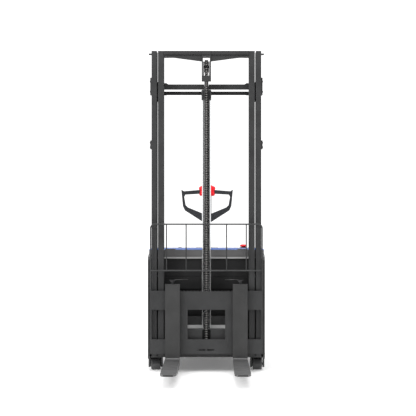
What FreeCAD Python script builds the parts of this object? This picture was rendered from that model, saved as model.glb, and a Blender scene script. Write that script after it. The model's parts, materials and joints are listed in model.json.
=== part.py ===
import FreeCAD
import Part

import math
import os

from FreeCAD import Vector

# A pedestrian counterbalanced stacker for narrow aisles: two-stage mast, hook-on forks, tiller steering.
# Millimetres. X is across the machine, the forks point to -Y, Z is up and the wheels stand on Z = 0.
# The origin is on the floor under the middle of the whole machine.

# Whole machine, with lengths measured back from the fork face (the front face of the fork shanks).
# Cutting shapes reach past the faces that they cut by the overreach.
fork_length = 1150.0
body_length = 1540.0
overall_width = 800.0
fork_face_y = -(fork_length + body_length) / 2.0 + fork_length

# Forks and their carriage
fork_width = 100.0
fork_spread = 460.0
fork_thickness = 36.0
fork_tip_thickness = 12.0
fork_tip_width = 62.0
fork_tip_taper = 90.0
fork_top_z = 90.0
fork_heel_radius = 28.0
fork_flat_share = 0.45
hook_top_z = 598.0
hook_reach = 14.0
carriage_width = overall_width - 30.0
carriage_bottom_z = 122.0
carriage_top_z = 552.0
carriage_thickness = 24.0
lower_bar_height = 100.0
upper_bar_height = 129.0
middle_window_width = 256.0
side_window_outer_x = carriage_width / 2.0 - 12.0
side_window_inner_x = side_window_outer_x - 90.0
notch_pitch = 23.4
notch_radius = 6.0
notch_field = 350.0
latch_knob_radius = 13.0
latch_stem_height = 14.0
latch_knob_height = 10.0
latch_bar_size = (44.0, 10.0, 6.0)
slot_spacing = 60.0
slot_length = 50.0
slot_radius = 6.0
slot_z = 150.0
cheek_inner_x = carriage_width / 2.0 - 117.0
cheek_thickness = 12.0
cheek_depth = 92.0
cheek_foot_inset = 8.0
cheek_top_inset = 4.0
cheek_roller_margin = 40.0
carriage_roller_z = (190.0, 490.0)
roller_spacer = 3.0

# Load backrest of round bar
backrest_top_z = 1006.0
backrest_rail_z = 689.0
backrest_bar_radius = 5.0
backrest_post_radius = 4.0
backrest_corner = 28.0
backrest_post_x = (138.0, 272.0)
backrest_back = 48.0

# Mast
mast_height = 2190.0
mast_half_width = overall_width / 2.0 - 25.0
mast_depth = 104.0
mast_gap_y = 12.0
flange_thickness = 12.0
web_thickness = 9.0
outer_flange = 37.0
stage_gap_x = 7.0
inner_flange = 41.0
outer_foot_z = 96.0
inner_foot_z = 102.0
channel_clearance = 1.0
mast_roller_width = 26.0
stub_radius = 12.0
stub_recess = 4.0
inner_roller_z = (170.0, 650.0)
beam_thickness = 10.0
top_beam_z = mast_height - 24.0
top_beam_plate = 12.0
top_beam_lip = 4.0
gusset_end_z = mast_height - 38.0
gusset_middle_z = mast_height - 72.0
inner_beam_z = (mast_height - 256.0, mast_height - 220.0)
inner_low_beam_z = (300.0, 372.0)
outer_beam_z = (mast_height - 292.0, mast_height - 268.0)
outer_low_beam_z = (560.0, 640.0)
outer_beam_gap = 8.0
outer_beam_thickness = 14.0
beam_flare = 26.0
beam_flare_height = 8.0

# Lift cylinder, chain and pulley
cylinder_y = 122.0
barrel_radius = 30.0
barrel_bore = 23.0
barrel_foot = 24.0
barrel_top_z = mast_height - 334.0
gland_radius = 34.0
lug_rise = 20.0
chain_end_drop = 10.0
gland_top_z = mast_height - 264.0
rod_radius = 17.5
rod_foot_z = 330.0
running_clearance = 0.05
pulley_z = mast_height - 106.0
chain_radius = 43.0
chain_pitch = 15.875
link_share = 0.72
chain_width = 26.0
chain_inner_width = 16.0
chain_depth = 12.0
chain_inner_depth = 8.0
chain_foot_z = 208.0
carrier_cheek_x = 16.0
carrier_cheek_thickness = 6.0
carrier_foot_inset = 4.0
carrier_foot_height = 20.0
pulley_pin_radius = 8.0
pulley_side_gap = 1.0
pulley_rim_drop = 2.0
chain_side_gap = 0.6
anchor_half_width = 24.0
anchor_rise = 12.0
carrier_foot_z = mast_height - 194.0
hook_plate_width = 64.0
hook_plate_thickness = 6.0
hook_plate_gap = 1.0
hook_plate_foot_z = mast_height - 210.0
hook_window = (47.0, mast_height - 169.0, mast_height - 41.0)
pipe_radius = 5.0
pipe_x = 42.0
pipe_foot_rise = 40.0
pipe_top_rise = 30.0
pipe_bite = 3.0

# Chassis
wall_thickness = 12.0
wall_front = 66.0
wall_foot_z = 86.0
wall_corner = 20.0
wall_shoulder_rise = 20.0
wall_tail_rise = 60.0
body_top_z = 830.0
wall_front_top_z = body_top_z - 48.0
lid_skirt_z = body_top_z - 62.0
lid_front = 232.0
lid_back = body_length - 580.0
lid_gap = 6.0
lid_corner_radius = 30.0
seat_gap = 0.3
overreach = 1.0
cowl_thickness = 12.0
cowl_lip_depth = 8.0
cowl_lip_height = 12.0
cowl_top_drop = 2.0
lid_hinge_x = 250.0
lid_hinge_radius = 5.0
lid_hinge_pin = 2.5
lid_hinge_length = 24.0
lid_hinge_rise = 1.0
lid_hinge_room = 1.0
lid_wall = 4.0
lid_panel = 3.0
console_back = body_length - 410.0
console_corner_radius = 40.0
bulkhead_front = 215.0
bulkhead_back = body_length - 698.0
deck_z = 98.0
rear_frame_z = 262.0
wall_back = body_length - 360.0
base_top_z = 290.0
base_height = 110.0
base_half_width = overall_width / 2.0 - 150.0
base_front = 90.0
base_edge = 2.0
base_top_plate = 20.0
cover_foot_z = 110.0
cover_top_z = body_top_z - 270.0
cover_wall = 6.0
cover_edge_chamfer = 18.0
cover_side_lead = 120.0
neck_rise = 70.0
ear_half_length = 30.0
battery_length = (bulkhead_back - bulkhead_front - wall_thickness) / 2.0 - 7.5
battery_size = (overall_width - 160.0, battery_length, body_top_z - 230.0)
counterweight_size = (overall_width - 120.0, battery_length - 50.0, body_top_z - 350.0)
inside_gap = 10.0
pump_size = (overall_width - 380.0, 190.0, body_top_z - 570.0)

# Wheels, from a table: radius, width, distance back from the fork face, sideways place
load_wheel_radius = 40.0
load_wheel_width = 64.0
load_wheel_crown = 4.0
wheel_side_gap = 5.0
bracket_half_length = 24.0
load_wheel_back = 225.0
load_wheel_x = overall_width / 2.0 - 49.0
load_axle_radius = 10.0
bracket_plate = 12.0
drive_wheel_radius = 115.0
drive_wheel_width = 76.0
drive_tyre_thickness = 20.0
drive_tyre_crown = 6.0
steer_back = body_length - 200.0
caster_radius = 62.0
caster_width = 44.0
caster_wheel_crown = 7.0
caster_axle_radius = 7.0
caster_back = body_length - 325.0
caster_x = overall_width / 2.0 - 100.0
caster_trail = 34.0
caster_plate_z = 172.0
pedestal_half = 45.0
caster_head_radius = 34.0
caster_head_height = 18.0
caster_bolt_radius = 8.0
caster_swivel_gap = 4.0
caster_side_gap = 4.0
caster_leg_thickness = 5.0
caster_leg_half_depth = 16.0
caster_leg_drop = 14.0
caster_crown_lead = 26.0
caster_crown_thickness = 10.0
drive_bore_radius = 15.0
hub_boss = 34.0
hub_rim = 14.0
hub_web = 12.0

# Drive unit and tiller
turret_radius = 122.0
turret_plate = 18.0
turret_leg_foot = 30.0
turret_leg_top = 62.0
turret_leg_thickness = 16.0
drive_wheel_gap = 6.0
motor_radius = 82.0
motor_top_z = cover_top_z - 60.0
neck_radius = 70.0
neck_hole_radius = 78.0
tiller_pivot_z = cover_top_z + 140.0
tiller_ear_gap = 76.0
tiller_ear_thickness = 12.0
tiller_boss_radius = 28.0
tiller_pin_radius = 9.0
tiller_arm_width = 52.0
tiller_arm_depth = 38.0
tiller_arm_flare = 8.0
tiller_arm_round = 8.0
tiller_side_gap = 1.0
head_foot_z = tiller_pivot_z + 322.0
head_depth = 34.0
head_column_width = 66.0
button_depth = 10.0

# Half outline of the tiller head: distance from its middle, height above its foot
head_outline = [
    (169.0, 87.0),
    (184.0, 120.0),
    (196.0, 245.0),
    (176.0, 233.0),
    (53.0, 243.0),
    (33.0, 265.0),
]
# Hand hole in the head, the same columns
hand_hole = [
    (33.0, 64.0),
    (145.0, 110.0),
    (163.0, 127.0),
    (174.0, 190.0),
    (166.0, 207.0),
    (33.0, 215.0),
]
# Half outline of the switch blocks, the same columns
switch_outline = [
    (58.0, 196.0),
    (64.0, 206.0),
    (58.0, 240.0),
    (64.0, 268.0),
    (50.0, 284.0),
]

# Profile of the emergency stop: radius, height above the console
stop_profile = [
    (0.0, 0.0),
    (26.0, 0.0),
    (22.0, 10.0),
    (14.0, 10.0),
    (14.0, 20.0),
    (25.0, 20.0),
    (28.0, 25.0),
    (26.0, 31.0),
    (18.0, 34.0),
    (0.0, 34.0),
]
stop_place = (overall_width / 2.0 - 129.0, console_back - 60.0)
display_size = (160.0, 80.0, 8.0)
display_back = console_back - 85.0
key_x = -200.0
key_switch_radius = 14.0
key_switch_height = 12.0
key_blade = (6.0, 20.0, 22.0)

# Weld blocks between the side walls and the mast: low edge, high edge
mast_weld_inset = 20.0
mast_weld_z = ((150.0, 260.0), (520.0, 660.0))
# Pads on the outer uprights: low edge, high edge
side_pad_z = ((mast_height - 300.0, mast_height - 180.0), (mast_height - 670.0, mast_height - 610.0))
side_pad_half_depth = 22.0
side_pad_thickness = 10.0
side_bolt_drop = 18.0
side_bolt_radius = 6.0
side_bolt_length = 20.0


def back(distance):
    """Y of a place that lies this far behind the fork face."""
    return fork_face_y + distance


def block(x_range, y_range, z_range):
    size = [high - low for low, high in (x_range, y_range, z_range)]
    return Part.makeBox(*size, Vector(x_range[0], y_range[0], z_range[0]))


def bar(radius, start, end):
    """A round bar between two points."""
    start = Vector(*start)
    along = Vector(*end) - start
    return Part.makeCylinder(radius, along.Length, start, along)


def outline_yz(points, x_low, x_high):
    """A plate cut to an outline of (y, z) corners, between two x planes."""
    corners = [Vector(x_low, y, z) for y, z in points]
    face = Part.Face(Part.makePolygon(corners + corners[:1]))
    return face.extrude(Vector(x_high - x_low, 0, 0))


def outline_xz(points, y_low, y_high):
    corners = [Vector(x, y_low, z) for x, z in points]
    face = Part.Face(Part.makePolygon(corners + corners[:1]))
    return face.extrude(Vector(0, y_high - y_low, 0))


def outline_xy(points, z_low, z_high):
    corners = [Vector(x, y, z_low) for x, y in points]
    face = Part.Face(Part.makePolygon(corners + corners[:1]))
    return face.extrude(Vector(0, 0, z_high - z_low))


def join(shapes):
    shapes = list(shapes)
    whole = shapes[0]
    if len(shapes) > 1:
        whole = whole.fuse(shapes[1:])
    return whole.removeSplitter()


def mirrored(shape):
    return shape.mirror(Vector(0, 0, 0), Vector(1, 0, 0))


def both_sides(shape):
    return [shape, mirrored(shape)]


def edges_along(shape, axis, test):
    """Straight edges that run along an axis and whose middle passes the test."""
    chosen = []
    for edge in shape.Edges:
        if edge.Length < 1e-3 or not isinstance(edge.Curve, Part.Line):
            continue
        first, last = edge.Vertexes[0].Point, edge.Vertexes[-1].Point
        direction = (last - first).normalize()
        middle = (first + last) * 0.5
        if abs(direction.dot(axis)) > 0.999 and test(middle):
            chosen.append(edge)
    return chosen


def save(name, shape):
    shape.exportStep(os.path.join("parts", name + ".step"))


X_AXIS = Vector(1, 0, 0)
Z_AXIS = Vector(0, 0, 1)

# Places along the machine that several pieces share
carriage_front = fork_thickness
carriage_rear = carriage_front + carriage_thickness
mast_front = carriage_rear + mast_gap_y
mast_rear = mast_front + mast_depth
mast_middle = (mast_front + mast_rear) / 2.0
roller_radius = mast_depth / 2.0 - flange_thickness - channel_clearance
outer_inner_x = mast_half_width - outer_flange
inner_outer_x = outer_inner_x - stage_gap_x
inner_inner_x = inner_outer_x - inner_flange
inner_web_x = (inner_outer_x + inner_inner_x) / 2.0
wall_inner_x = overall_width / 2.0 - wall_thickness
outer_beam_front = mast_rear + beam_thickness + outer_beam_gap


def channel_section(upright_z, web_range, flange_range):
    """A mast upright: two flanges and the web between them."""
    z_range = (upright_z, mast_height)
    front = (back(mast_front), back(mast_front) + flange_thickness)
    rear = (back(mast_rear) - flange_thickness, back(mast_rear))
    web = block(web_range, (back(mast_front), back(mast_rear)), z_range)
    flanges = [block(flange_range, face, z_range) for face in (front, rear)]
    upright = join([web] + flanges)
    low_x, high_x = flange_range

    def at_corner(point):
        on_side = min(abs(point.x - low_x), abs(point.x - high_x)) < 0.1
        on_face = min(abs(point.y - front[0]), abs(point.y - rear[1])) < 0.1
        return on_side and on_face

    return upright.makeFillet(flange_thickness / 4.0, edges_along(upright, Z_AXIS, at_corner))


def outer_upright():
    web_range = (mast_half_width - web_thickness, mast_half_width)
    return channel_section(outer_foot_z, web_range, (outer_inner_x, mast_half_width))


def inner_upright():
    web_range = (inner_web_x - web_thickness / 2.0, inner_web_x + web_thickness / 2.0)
    return channel_section(inner_foot_z, web_range, (inner_inner_x, inner_outer_x))


def flared_beam(half_width, y_range, z_range):
    """A cross beam whose ends flare where they are welded to the uprights."""
    low, high = z_range
    inner = half_width - beam_flare
    points = [
        (-half_width, low - beam_flare_height),
        (-inner, low),
        (inner, low),
        (half_width, low - beam_flare_height),
        (half_width, high + beam_flare_height),
        (inner, high),
        (-inner, high),
        (-half_width, high + beam_flare_height),
    ]
    return outline_xz(points, *y_range)


def outer_beams():
    """Two beams behind the outer uprights, on feet that pass the inner stage."""
    pieces = []
    y_range = (back(outer_beam_front), back(outer_beam_front) + outer_beam_thickness)
    for z_range in (outer_beam_z, outer_low_beam_z):
        pieces.append(flared_beam(mast_half_width, y_range, z_range))
        foot = block((outer_inner_x, mast_half_width), (back(mast_rear), y_range[1]), z_range)
        pieces += both_sides(foot)
    return join(pieces)


def mast_side_pads():
    """The bracket pads and bolt ends that stand out of the outer uprights."""
    pads = []
    bolt_y = back(mast_middle)
    for pad_z in side_pad_z:
        pad = block(
            (mast_half_width, mast_half_width + side_pad_thickness),
            (bolt_y - side_pad_half_depth, bolt_y + side_pad_half_depth),
            pad_z,
        )
        pads += both_sides(pad)
    bolt_z = mast_height - side_bolt_drop
    bolt_end = mast_half_width + side_bolt_length
    bolt = bar(side_bolt_radius, (mast_half_width, bolt_y, bolt_z), (bolt_end, bolt_y, bolt_z))
    pads += both_sides(bolt)
    return Part.makeCompound(pads)


def inner_top_beam():
    """Top plate, deep front gusset and the windowed plate in front of the pulley."""
    y_front = back(mast_front)
    half = inner_inner_x
    plate = block((-half, half), (y_front, back(mast_rear)), (mast_height - top_beam_plate, mast_height))
    gusset_points = [
        (-half, mast_height - top_beam_plate),
        (-half, gusset_end_z),
        (-hook_plate_width / 2.0, gusset_middle_z),
        (hook_plate_width / 2.0, gusset_middle_z),
        (half, gusset_end_z),
        (half, mast_height - top_beam_plate),
    ]
    gusset = outline_xz(gusset_points, y_front, y_front + flange_thickness)
    lip = block((-half, half), (y_front - top_beam_lip, y_front), (top_beam_z, mast_height))
    window_width, window_low, window_high = hook_window
    hook_range = (y_front - hook_plate_gap - hook_plate_thickness, y_front - hook_plate_gap)
    hook_plate = block(
        (-hook_plate_width / 2.0, hook_plate_width / 2.0),
        hook_range,
        (hook_plate_foot_z, mast_height),
    )
    window = block(
        (-window_width / 2.0, window_width / 2.0),
        (hook_range[0] - overreach, y_front + flange_thickness + overreach),
        (window_low, window_high),
    )
    rear_strip = block(
        (-half, half),
        (back(mast_rear) - beam_thickness, back(mast_rear)),
        (gusset_end_z, mast_height),
    )
    neck = block(
        (-hook_plate_width / 2.0, hook_plate_width / 2.0),
        (hook_range[1], y_front),
        (window_high, mast_height),
    )
    return join([plate, gusset, lip, hook_plate, neck, rear_strip]).cut(window)


def inner_rear_beams():
    y_range = (back(mast_rear), back(mast_rear) + beam_thickness)
    return Part.makeCompound(
        [flared_beam(inner_outer_x, y_range, z_range) for z_range in (inner_beam_z, inner_low_beam_z)]
    )


def inner_rollers():
    """Rollers on stubs that carry the inner stage in the outer channels."""
    pieces = []
    start = inner_web_x + web_thickness / 2.0
    roller_end = mast_half_width - web_thickness - channel_clearance
    y = back(mast_middle)
    for z in inner_roller_z:
        stub = bar(stub_radius, (start, y, z), (roller_end - stub_recess, y, z))
        roller = bar(roller_radius, (roller_end - mast_roller_width, y, z), (roller_end, y, z))
        pieces += both_sides(join([stub, roller]))
    return Part.makeCompound(pieces)


def lift_barrel():
    centre = Vector(0, back(cylinder_y), base_top_z)
    height = barrel_top_z - base_top_z
    barrel = Part.makeCylinder(barrel_radius, height, centre)
    bore = Part.makeCylinder(barrel_bore, height, centre + Vector(0, 0, barrel_foot))
    return barrel.cut(bore)


def cylinder_gland():
    """The gland on the barrel, with the lug behind it that holds the fixed end of the chain."""
    centre = Vector(0, back(cylinder_y), barrel_top_z)
    height = gland_top_z - barrel_top_z
    gland = Part.makeCylinder(gland_radius, height, centre)
    chain_y = back(cylinder_y + chain_radius)
    lug = block(
        (-chain_width / 2.0, chain_width / 2.0),
        (back(cylinder_y), chain_y + chain_depth / 2.0),
        (barrel_top_z + lug_rise, gland_top_z - chain_end_drop),
    )
    bore = Part.makeCylinder(rod_radius + running_clearance, height, centre)
    return join([gland, lug]).cut(bore)


def piston_rod():
    return bar(rod_radius, (0, back(cylinder_y), rod_foot_z), (0, back(cylinder_y), carrier_foot_z))


def pulley_carrier():
    """The crosshead on the rod: two cheeks that hold the pulley's pin."""
    y_middle = back(cylinder_y)
    half_depth = chain_radius - chain_depth
    cheek = block(
        (carrier_cheek_x, carrier_cheek_x + carrier_cheek_thickness),
        (back(mast_front) - hook_plate_gap, y_middle + half_depth),
        (carrier_foot_z, gusset_middle_z),
    )
    reach = carrier_cheek_x + carrier_cheek_thickness
    foot = block(
        (-reach, reach),
        (y_middle - half_depth + carrier_foot_inset, y_middle + half_depth),
        (carrier_foot_z, carrier_foot_z + carrier_foot_height),
    )
    pin_ends = [(x, y_middle, pulley_z) for x in (-carrier_cheek_x, carrier_cheek_x)]
    pin = bar(pulley_pin_radius, *pin_ends)
    return join(both_sides(cheek) + [foot, pin])


def chain_pulley():
    """A smooth chain pulley with side flanges, turned about the x axis."""
    groove = chain_radius - chain_depth / 2.0 - seat_gap
    half_width = carrier_cheek_x - pulley_side_gap
    rim = chain_radius - pulley_rim_drop
    groove_half = chain_width / 2.0 + chain_side_gap
    bore = pulley_pin_radius + running_clearance
    points = [
        (-half_width, bore),
        (half_width, bore),
        (half_width, rim),
        (groove_half, rim),
        (groove_half, groove),
        (-groove_half, groove),
        (-groove_half, rim),
        (-half_width, rim),
    ]
    centre = Vector(0, back(cylinder_y), pulley_z)
    corners = [centre + Vector(x, 0, r) for x, r in points]
    face = Part.Face(Part.makePolygon(corners + corners[:1]))
    return face.revolve(centre, X_AXIS, 360.0)


def chain_link():
    """One wide link of the leaf chain about the origin, along z."""
    half_x = chain_width / 2.0
    half_y = chain_depth / 2.0
    half_z = chain_pitch * link_share
    return block((-half_x, half_x), (-half_y, half_y), (-half_z, half_z))


def straight_chain(y, z_low, z_high):
    """A run of chain at a distance y behind the fork face."""
    count = int((z_high - z_low) / (2.0 * chain_pitch))
    core = block(
        (-chain_inner_width / 2.0, chain_inner_width / 2.0),
        (back(y) - chain_inner_depth / 2.0, back(y) + chain_inner_depth / 2.0),
        (z_low, z_high),
    )
    links = []
    for step in range(count):
        link = chain_link()
        link.translate(Vector(0, back(y), z_high - (2.0 * step + 1.0) * chain_pitch))
        links.append(link)
    return core.fuse(links)


def chain_over_pulley():
    """The half turn of chain on the pulley."""
    centre = Vector(0, back(cylinder_y), pulley_z)
    half_x = chain_inner_width / 2.0
    inner_r = chain_radius - chain_inner_depth / 2.0
    outer_r = chain_radius + chain_inner_depth / 2.0
    corners = [
        centre + Vector(x, r, 0)
        for x, r in ((-half_x, inner_r), (half_x, inner_r), (half_x, outer_r), (-half_x, outer_r))
    ]
    core = Part.Face(Part.makePolygon(corners + corners[:1])).revolve(centre, X_AXIS, 180.0)
    links = []
    count = int(math.pi * chain_radius / (2.0 * chain_pitch))
    for step in range(count):
        link = chain_link()
        link.translate(centre + Vector(0, chain_radius, 0))
        link.rotate(centre, X_AXIS, 180.0 * (step + 0.5) / count)
        links.append(link)
    return core.fuse(links)


def lift_pipe():
    """The oil pipe that runs up beside the barrel to its gland."""
    y = back(cylinder_y)
    low = base_top_z + pipe_foot_rise
    high = barrel_top_z + pipe_top_rise
    riser = bar(pipe_radius, (pipe_x, y, low), (pipe_x, y, high))
    top_z = high - pipe_radius
    foot_z = low + pipe_radius
    into_gland = bar(pipe_radius, (gland_radius - pipe_bite, y, top_z), (pipe_x, y, top_z))
    elbow = bar(pipe_radius, (pipe_x, y, foot_z), (barrel_radius - pipe_bite, y, foot_z))
    return join([riser, into_gland, elbow]).cut(cylinder_envelope())


def cylinder_envelope():
    foot = (0, back(cylinder_y), base_top_z)
    top = (0, back(cylinder_y), barrel_top_z)
    barrel = bar(barrel_radius + seat_gap, foot, top)
    gland = bar(gland_radius + seat_gap, top, (0, back(cylinder_y), gland_top_z))
    return barrel.fuse(gland)


def carriage_frame():
    """The fork carriage: notched upper bar, lower bar, uprights between the windows, roller cheeks."""
    half = carriage_width / 2.0
    y_range = (back(carriage_front), back(carriage_rear))
    plate = block((-half, half), y_range, (carriage_bottom_z, carriage_top_z))
    window_z = (carriage_bottom_z + lower_bar_height, carriage_top_z - upper_bar_height)
    through = (y_range[0] - overreach, y_range[1] + overreach)
    cuts = [block((-middle_window_width / 2.0, middle_window_width / 2.0), through, window_z)]
    cuts += both_sides(block((side_window_inner_x, side_window_outer_x), through, window_z))
    notch_count = int(notch_field / notch_pitch)
    for step in range(notch_count + 1):
        x = (step - notch_count / 2.0) * notch_pitch
        cuts.append(bar(notch_radius, (x, through[0], carriage_top_z), (x, through[1], carriage_top_z)))
    for x in (-slot_spacing / 2.0, slot_spacing / 2.0):
        straight = slot_length / 2.0 - slot_radius
        slot_z_range = (slot_z - slot_radius, slot_z + slot_radius)
        slot_box = block((x - straight, x + straight), through, slot_z_range)
        ends = []
        for end_x in (x - straight, x + straight):
            ends.append(bar(slot_radius, (end_x, through[0], slot_z), (end_x, through[1], slot_z)))
        cuts.append(join([slot_box] + ends))
    cheek_points = [
        (back(carriage_rear), carriage_bottom_z + cheek_foot_inset),
        (back(carriage_rear) + cheek_depth, carriage_roller_z[0] - cheek_roller_margin),
        (back(carriage_rear) + cheek_depth, carriage_roller_z[1] + cheek_roller_margin),
        (back(carriage_rear), carriage_top_z - cheek_top_inset),
    ]
    cheek = outline_yz(cheek_points, cheek_inner_x, cheek_inner_x + cheek_thickness)
    return join([plate.cut(join(cuts))] + both_sides(cheek))


def carriage_rollers():
    pieces = []
    start = cheek_inner_x + cheek_thickness
    end = inner_web_x - web_thickness / 2.0 - channel_clearance
    y = back(mast_middle)
    for z in carriage_roller_z:
        stub = bar(stub_radius, (start, y, z), (end - stub_recess, y, z))
        roller = bar(roller_radius, (start + roller_spacer, y, z), (end, y, z))
        pieces += both_sides(join([stub, roller]))
    return Part.makeCompound(pieces)


def chain_anchor():
    """The bracket behind the lower bar that the lifting end of the chain is pinned to."""
    chain_y = cylinder_y - chain_radius
    y_range = (back(carriage_rear), back(chain_y + chain_depth / 2.0))
    z_range = (carriage_bottom_z + anchor_rise, chain_foot_z)
    return block((-anchor_half_width, anchor_half_width), y_range, z_range)


def fork(side):
    """A hook-on fork: tapered blade, bent heel, shank and the hook over the upper bar."""
    x_middle = side * fork_spread / 2.0
    half = fork_width / 2.0
    tip_y = fork_face_y - fork_length
    bottom_z = fork_top_z - fork_thickness
    shank_back = back(fork_thickness)
    profile = [
        (tip_y, fork_top_z - fork_tip_thickness),
        (tip_y, fork_top_z),
        (fork_face_y, fork_top_z),
        (fork_face_y, hook_top_z),
        (back(carriage_front + hook_reach), hook_top_z),
        (back(carriage_front + hook_reach), carriage_top_z + seat_gap),
        (shank_back, carriage_top_z + seat_gap),
        (shank_back, bottom_z + fork_heel_radius),
        (shank_back - fork_heel_radius, bottom_z),
        (tip_y + fork_length * fork_flat_share, bottom_z),
    ]
    body = outline_yz(profile, x_middle - half, x_middle + half)
    inner_heel = edges_along(
        body,
        X_AXIS,
        lambda p: abs(p.y - fork_face_y) < 0.1 and abs(p.z - fork_top_z) < 0.1,
    )
    body = body.makeFillet(fork_heel_radius / 2.0, inner_heel)
    tip_half = fork_tip_width / 2.0
    plan = [
        (x_middle - half, back(carriage_rear)),
        (x_middle - half, tip_y + fork_tip_taper),
        (x_middle - tip_half, tip_y),
        (x_middle + tip_half, tip_y),
        (x_middle + half, tip_y + fork_tip_taper),
        (x_middle + half, back(carriage_rear)),
    ]
    return body.common(outline_xy(plan, 0.0, hook_top_z + overreach))


def fork_latches():
    """The knobs on the hooks that lock each fork in a notch."""
    pieces = []
    y = back(carriage_front / 2.0)
    for side in (-1, 1):
        x = side * fork_spread / 2.0
        knob_z = hook_top_z + latch_stem_height
        lever_z = knob_z + latch_knob_height
        stem = bar(latch_knob_radius / 2.0, (x, y, hook_top_z), (x, y, knob_z))
        knob = bar(latch_knob_radius, (x, y, knob_z), (x, y, lever_z))
        lever = centred_block(x, y, lever_z, latch_bar_size)
        pieces.append(join([stem, knob, lever]))
    return Part.makeCompound(pieces)


def bent_bar(radius, points, corner):
    """A round bar along straight runs with one bend radius."""
    points = [Vector(*p) for p in points]
    edges = []
    start = points[0]
    for before, at, after in zip(points, points[1:], points[2:]):
        into = (at - before).normalize()
        out = (after - at).normalize()
        half_turn = into.getAngle(out) / 2.0
        setback = corner * math.tan(half_turn)
        first = at - into * setback
        last = at + out * setback
        bisector = (out - into).normalize()
        middle = at + bisector * (corner / math.cos(half_turn) - corner)
        edges.append(Part.LineSegment(start, first).toShape())
        edges.append(Part.Arc(first, middle, last).toShape())
        start = last
    edges.append(Part.LineSegment(start, points[-1]).toShape())
    path = Part.Wire(edges)
    circle = Part.Wire(Part.makeCircle(radius, points[0], (points[1] - points[0]).normalize()))
    return path.makePipeShell([circle], True, False)


def backrest():
    """The wire load backrest: a bent outer frame, a lower rail and upright wires."""
    half = carriage_width / 2.0 - backrest_bar_radius
    y = back(backrest_back)
    frame = bent_bar(
        backrest_bar_radius,
        [
            (-half, y, carriage_top_z),
            (-half, y, backrest_top_z),
            (half, y, backrest_top_z),
            (half, y, carriage_top_z),
        ],
        backrest_corner,
    )
    rail = bar(backrest_bar_radius, (-half, y, backrest_rail_z), (half, y, backrest_rail_z))
    pieces = [frame, rail]
    for x in backrest_post_x:
        post = bar(backrest_post_radius, (x, y, backrest_rail_z), (x, y, backrest_top_z))
        pieces += both_sides(post)
    return join(pieces)


def load_bracket_cheek(x_low, x_high):
    """A plate that reaches down beside a load wheel and holds one end of its axle."""
    y = back(load_wheel_back)
    lobe = bar(bracket_half_length, (x_low, y, load_wheel_radius), (x_high, y, load_wheel_radius))
    y_range = (y - bracket_half_length, y + bracket_half_length)
    plate = block((x_low, x_high), y_range, (load_wheel_radius, deck_z))
    return join([lobe, plate])


def between_walls(y_range, z_range):
    """A plate that spans the inside of the two side walls."""
    return block((-wall_inner_x, wall_inner_x), y_range, z_range)


def chassis_frame():
    """Side walls, bulkheads, floor, rear frame plate and the load wheels' brackets, welded together."""
    half = overall_width / 2.0
    wall_points = [
        (back(wall_front), wall_foot_z + wall_corner),
        (back(wall_front), wall_front_top_z - wall_corner),
        (back(wall_front) + wall_corner, wall_front_top_z),
        (back(lid_front - lid_gap), wall_front_top_z + wall_shoulder_rise),
        (back(lid_front - lid_gap), lid_skirt_z - seat_gap),
        (back(console_back), lid_skirt_z - seat_gap),
        (back(wall_back), cover_top_z),
        (back(wall_back), wall_foot_z + wall_tail_rise),
        (back(bulkhead_back), wall_foot_z),
        (back(wall_front) + wall_corner, wall_foot_z),
    ]
    pieces = both_sides(outline_yz(wall_points, wall_inner_x, half))
    for place in (bulkhead_front, bulkhead_back):
        bulkhead_z = (deck_z - wall_thickness, lid_skirt_z - seat_gap)
        pieces.append(between_walls((back(place), back(place) + wall_thickness), bulkhead_z))
    floor_y = (back(bulkhead_front), back(bulkhead_back))
    pieces.append(between_walls(floor_y, (deck_z - wall_thickness, deck_z)))
    rear_z = (rear_frame_z, rear_frame_z + wall_thickness)
    rear_end = back(steer_back) + turret_radius + pedestal_half
    rear_plate = between_walls((back(bulkhead_back), back(wall_back)), rear_z)
    tail_plate = between_walls((back(wall_back), rear_end), rear_z)
    pieces += [rear_plate, tail_plate.common(cover_plan(cover_wall + seat_gap, *rear_z))]
    inner_cheek_x = load_wheel_x - load_wheel_width / 2.0 - wheel_side_gap - bracket_plate
    pieces += both_sides(load_bracket_cheek(inner_cheek_x, inner_cheek_x + bracket_plate))
    pieces += both_sides(load_bracket_cheek(wall_inner_x, half))
    pieces += both_sides(
        block(
            (inner_cheek_x, wall_inner_x),
            (back(mast_rear) + seat_gap, back(bulkhead_front) + wall_thickness),
            (wall_foot_z, deck_z),
        )
    )
    pieces += both_sides(
        bar(
            load_axle_radius,
            (inner_cheek_x, back(load_wheel_back), load_wheel_radius),
            (half, back(load_wheel_back), load_wheel_radius),
        )
    )
    weld_y = (back(mast_front + mast_weld_inset), back(mast_rear - mast_weld_inset))
    for weld_z in mast_weld_z:
        pieces += both_sides(block((mast_half_width, wall_inner_x), weld_y, weld_z))
    pedestal = block(
        (caster_x - pedestal_half, caster_x + pedestal_half),
        (back(caster_back) - pedestal_half, back(caster_back) + pedestal_half),
        (caster_plate_z, rear_frame_z),
    )
    pieces += both_sides(pedestal)
    turret_hole = bar(
        turret_radius + seat_gap,
        (0, back(steer_back), rear_frame_z - overreach),
        (0, back(steer_back), rear_frame_z + wall_thickness + overreach),
    )
    return join(pieces).cut(turret_hole)


def mast_base():
    """The box that carries the lift cylinder, open below, in front of the front bulkhead."""
    outside = block(
        (-base_half_width, base_half_width),
        (back(base_front), back(bulkhead_front)),
        (base_top_z - base_height, base_top_z),
    )
    front_top = edges_along(
        outside,
        X_AXIS,
        lambda p: abs(p.y - back(base_front)) < 0.1 and abs(p.z - base_top_z) < 0.1,
    )
    outside = outside.makeChamfer(base_edge, front_top)
    inside = block(
        (-base_half_width + wall_thickness, base_half_width - wall_thickness),
        (back(base_front) + wall_thickness, back(bulkhead_front) + overreach),
        (base_top_z - base_height - overreach, base_top_z - base_top_plate),
    )
    return outside.cut(inside)


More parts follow.
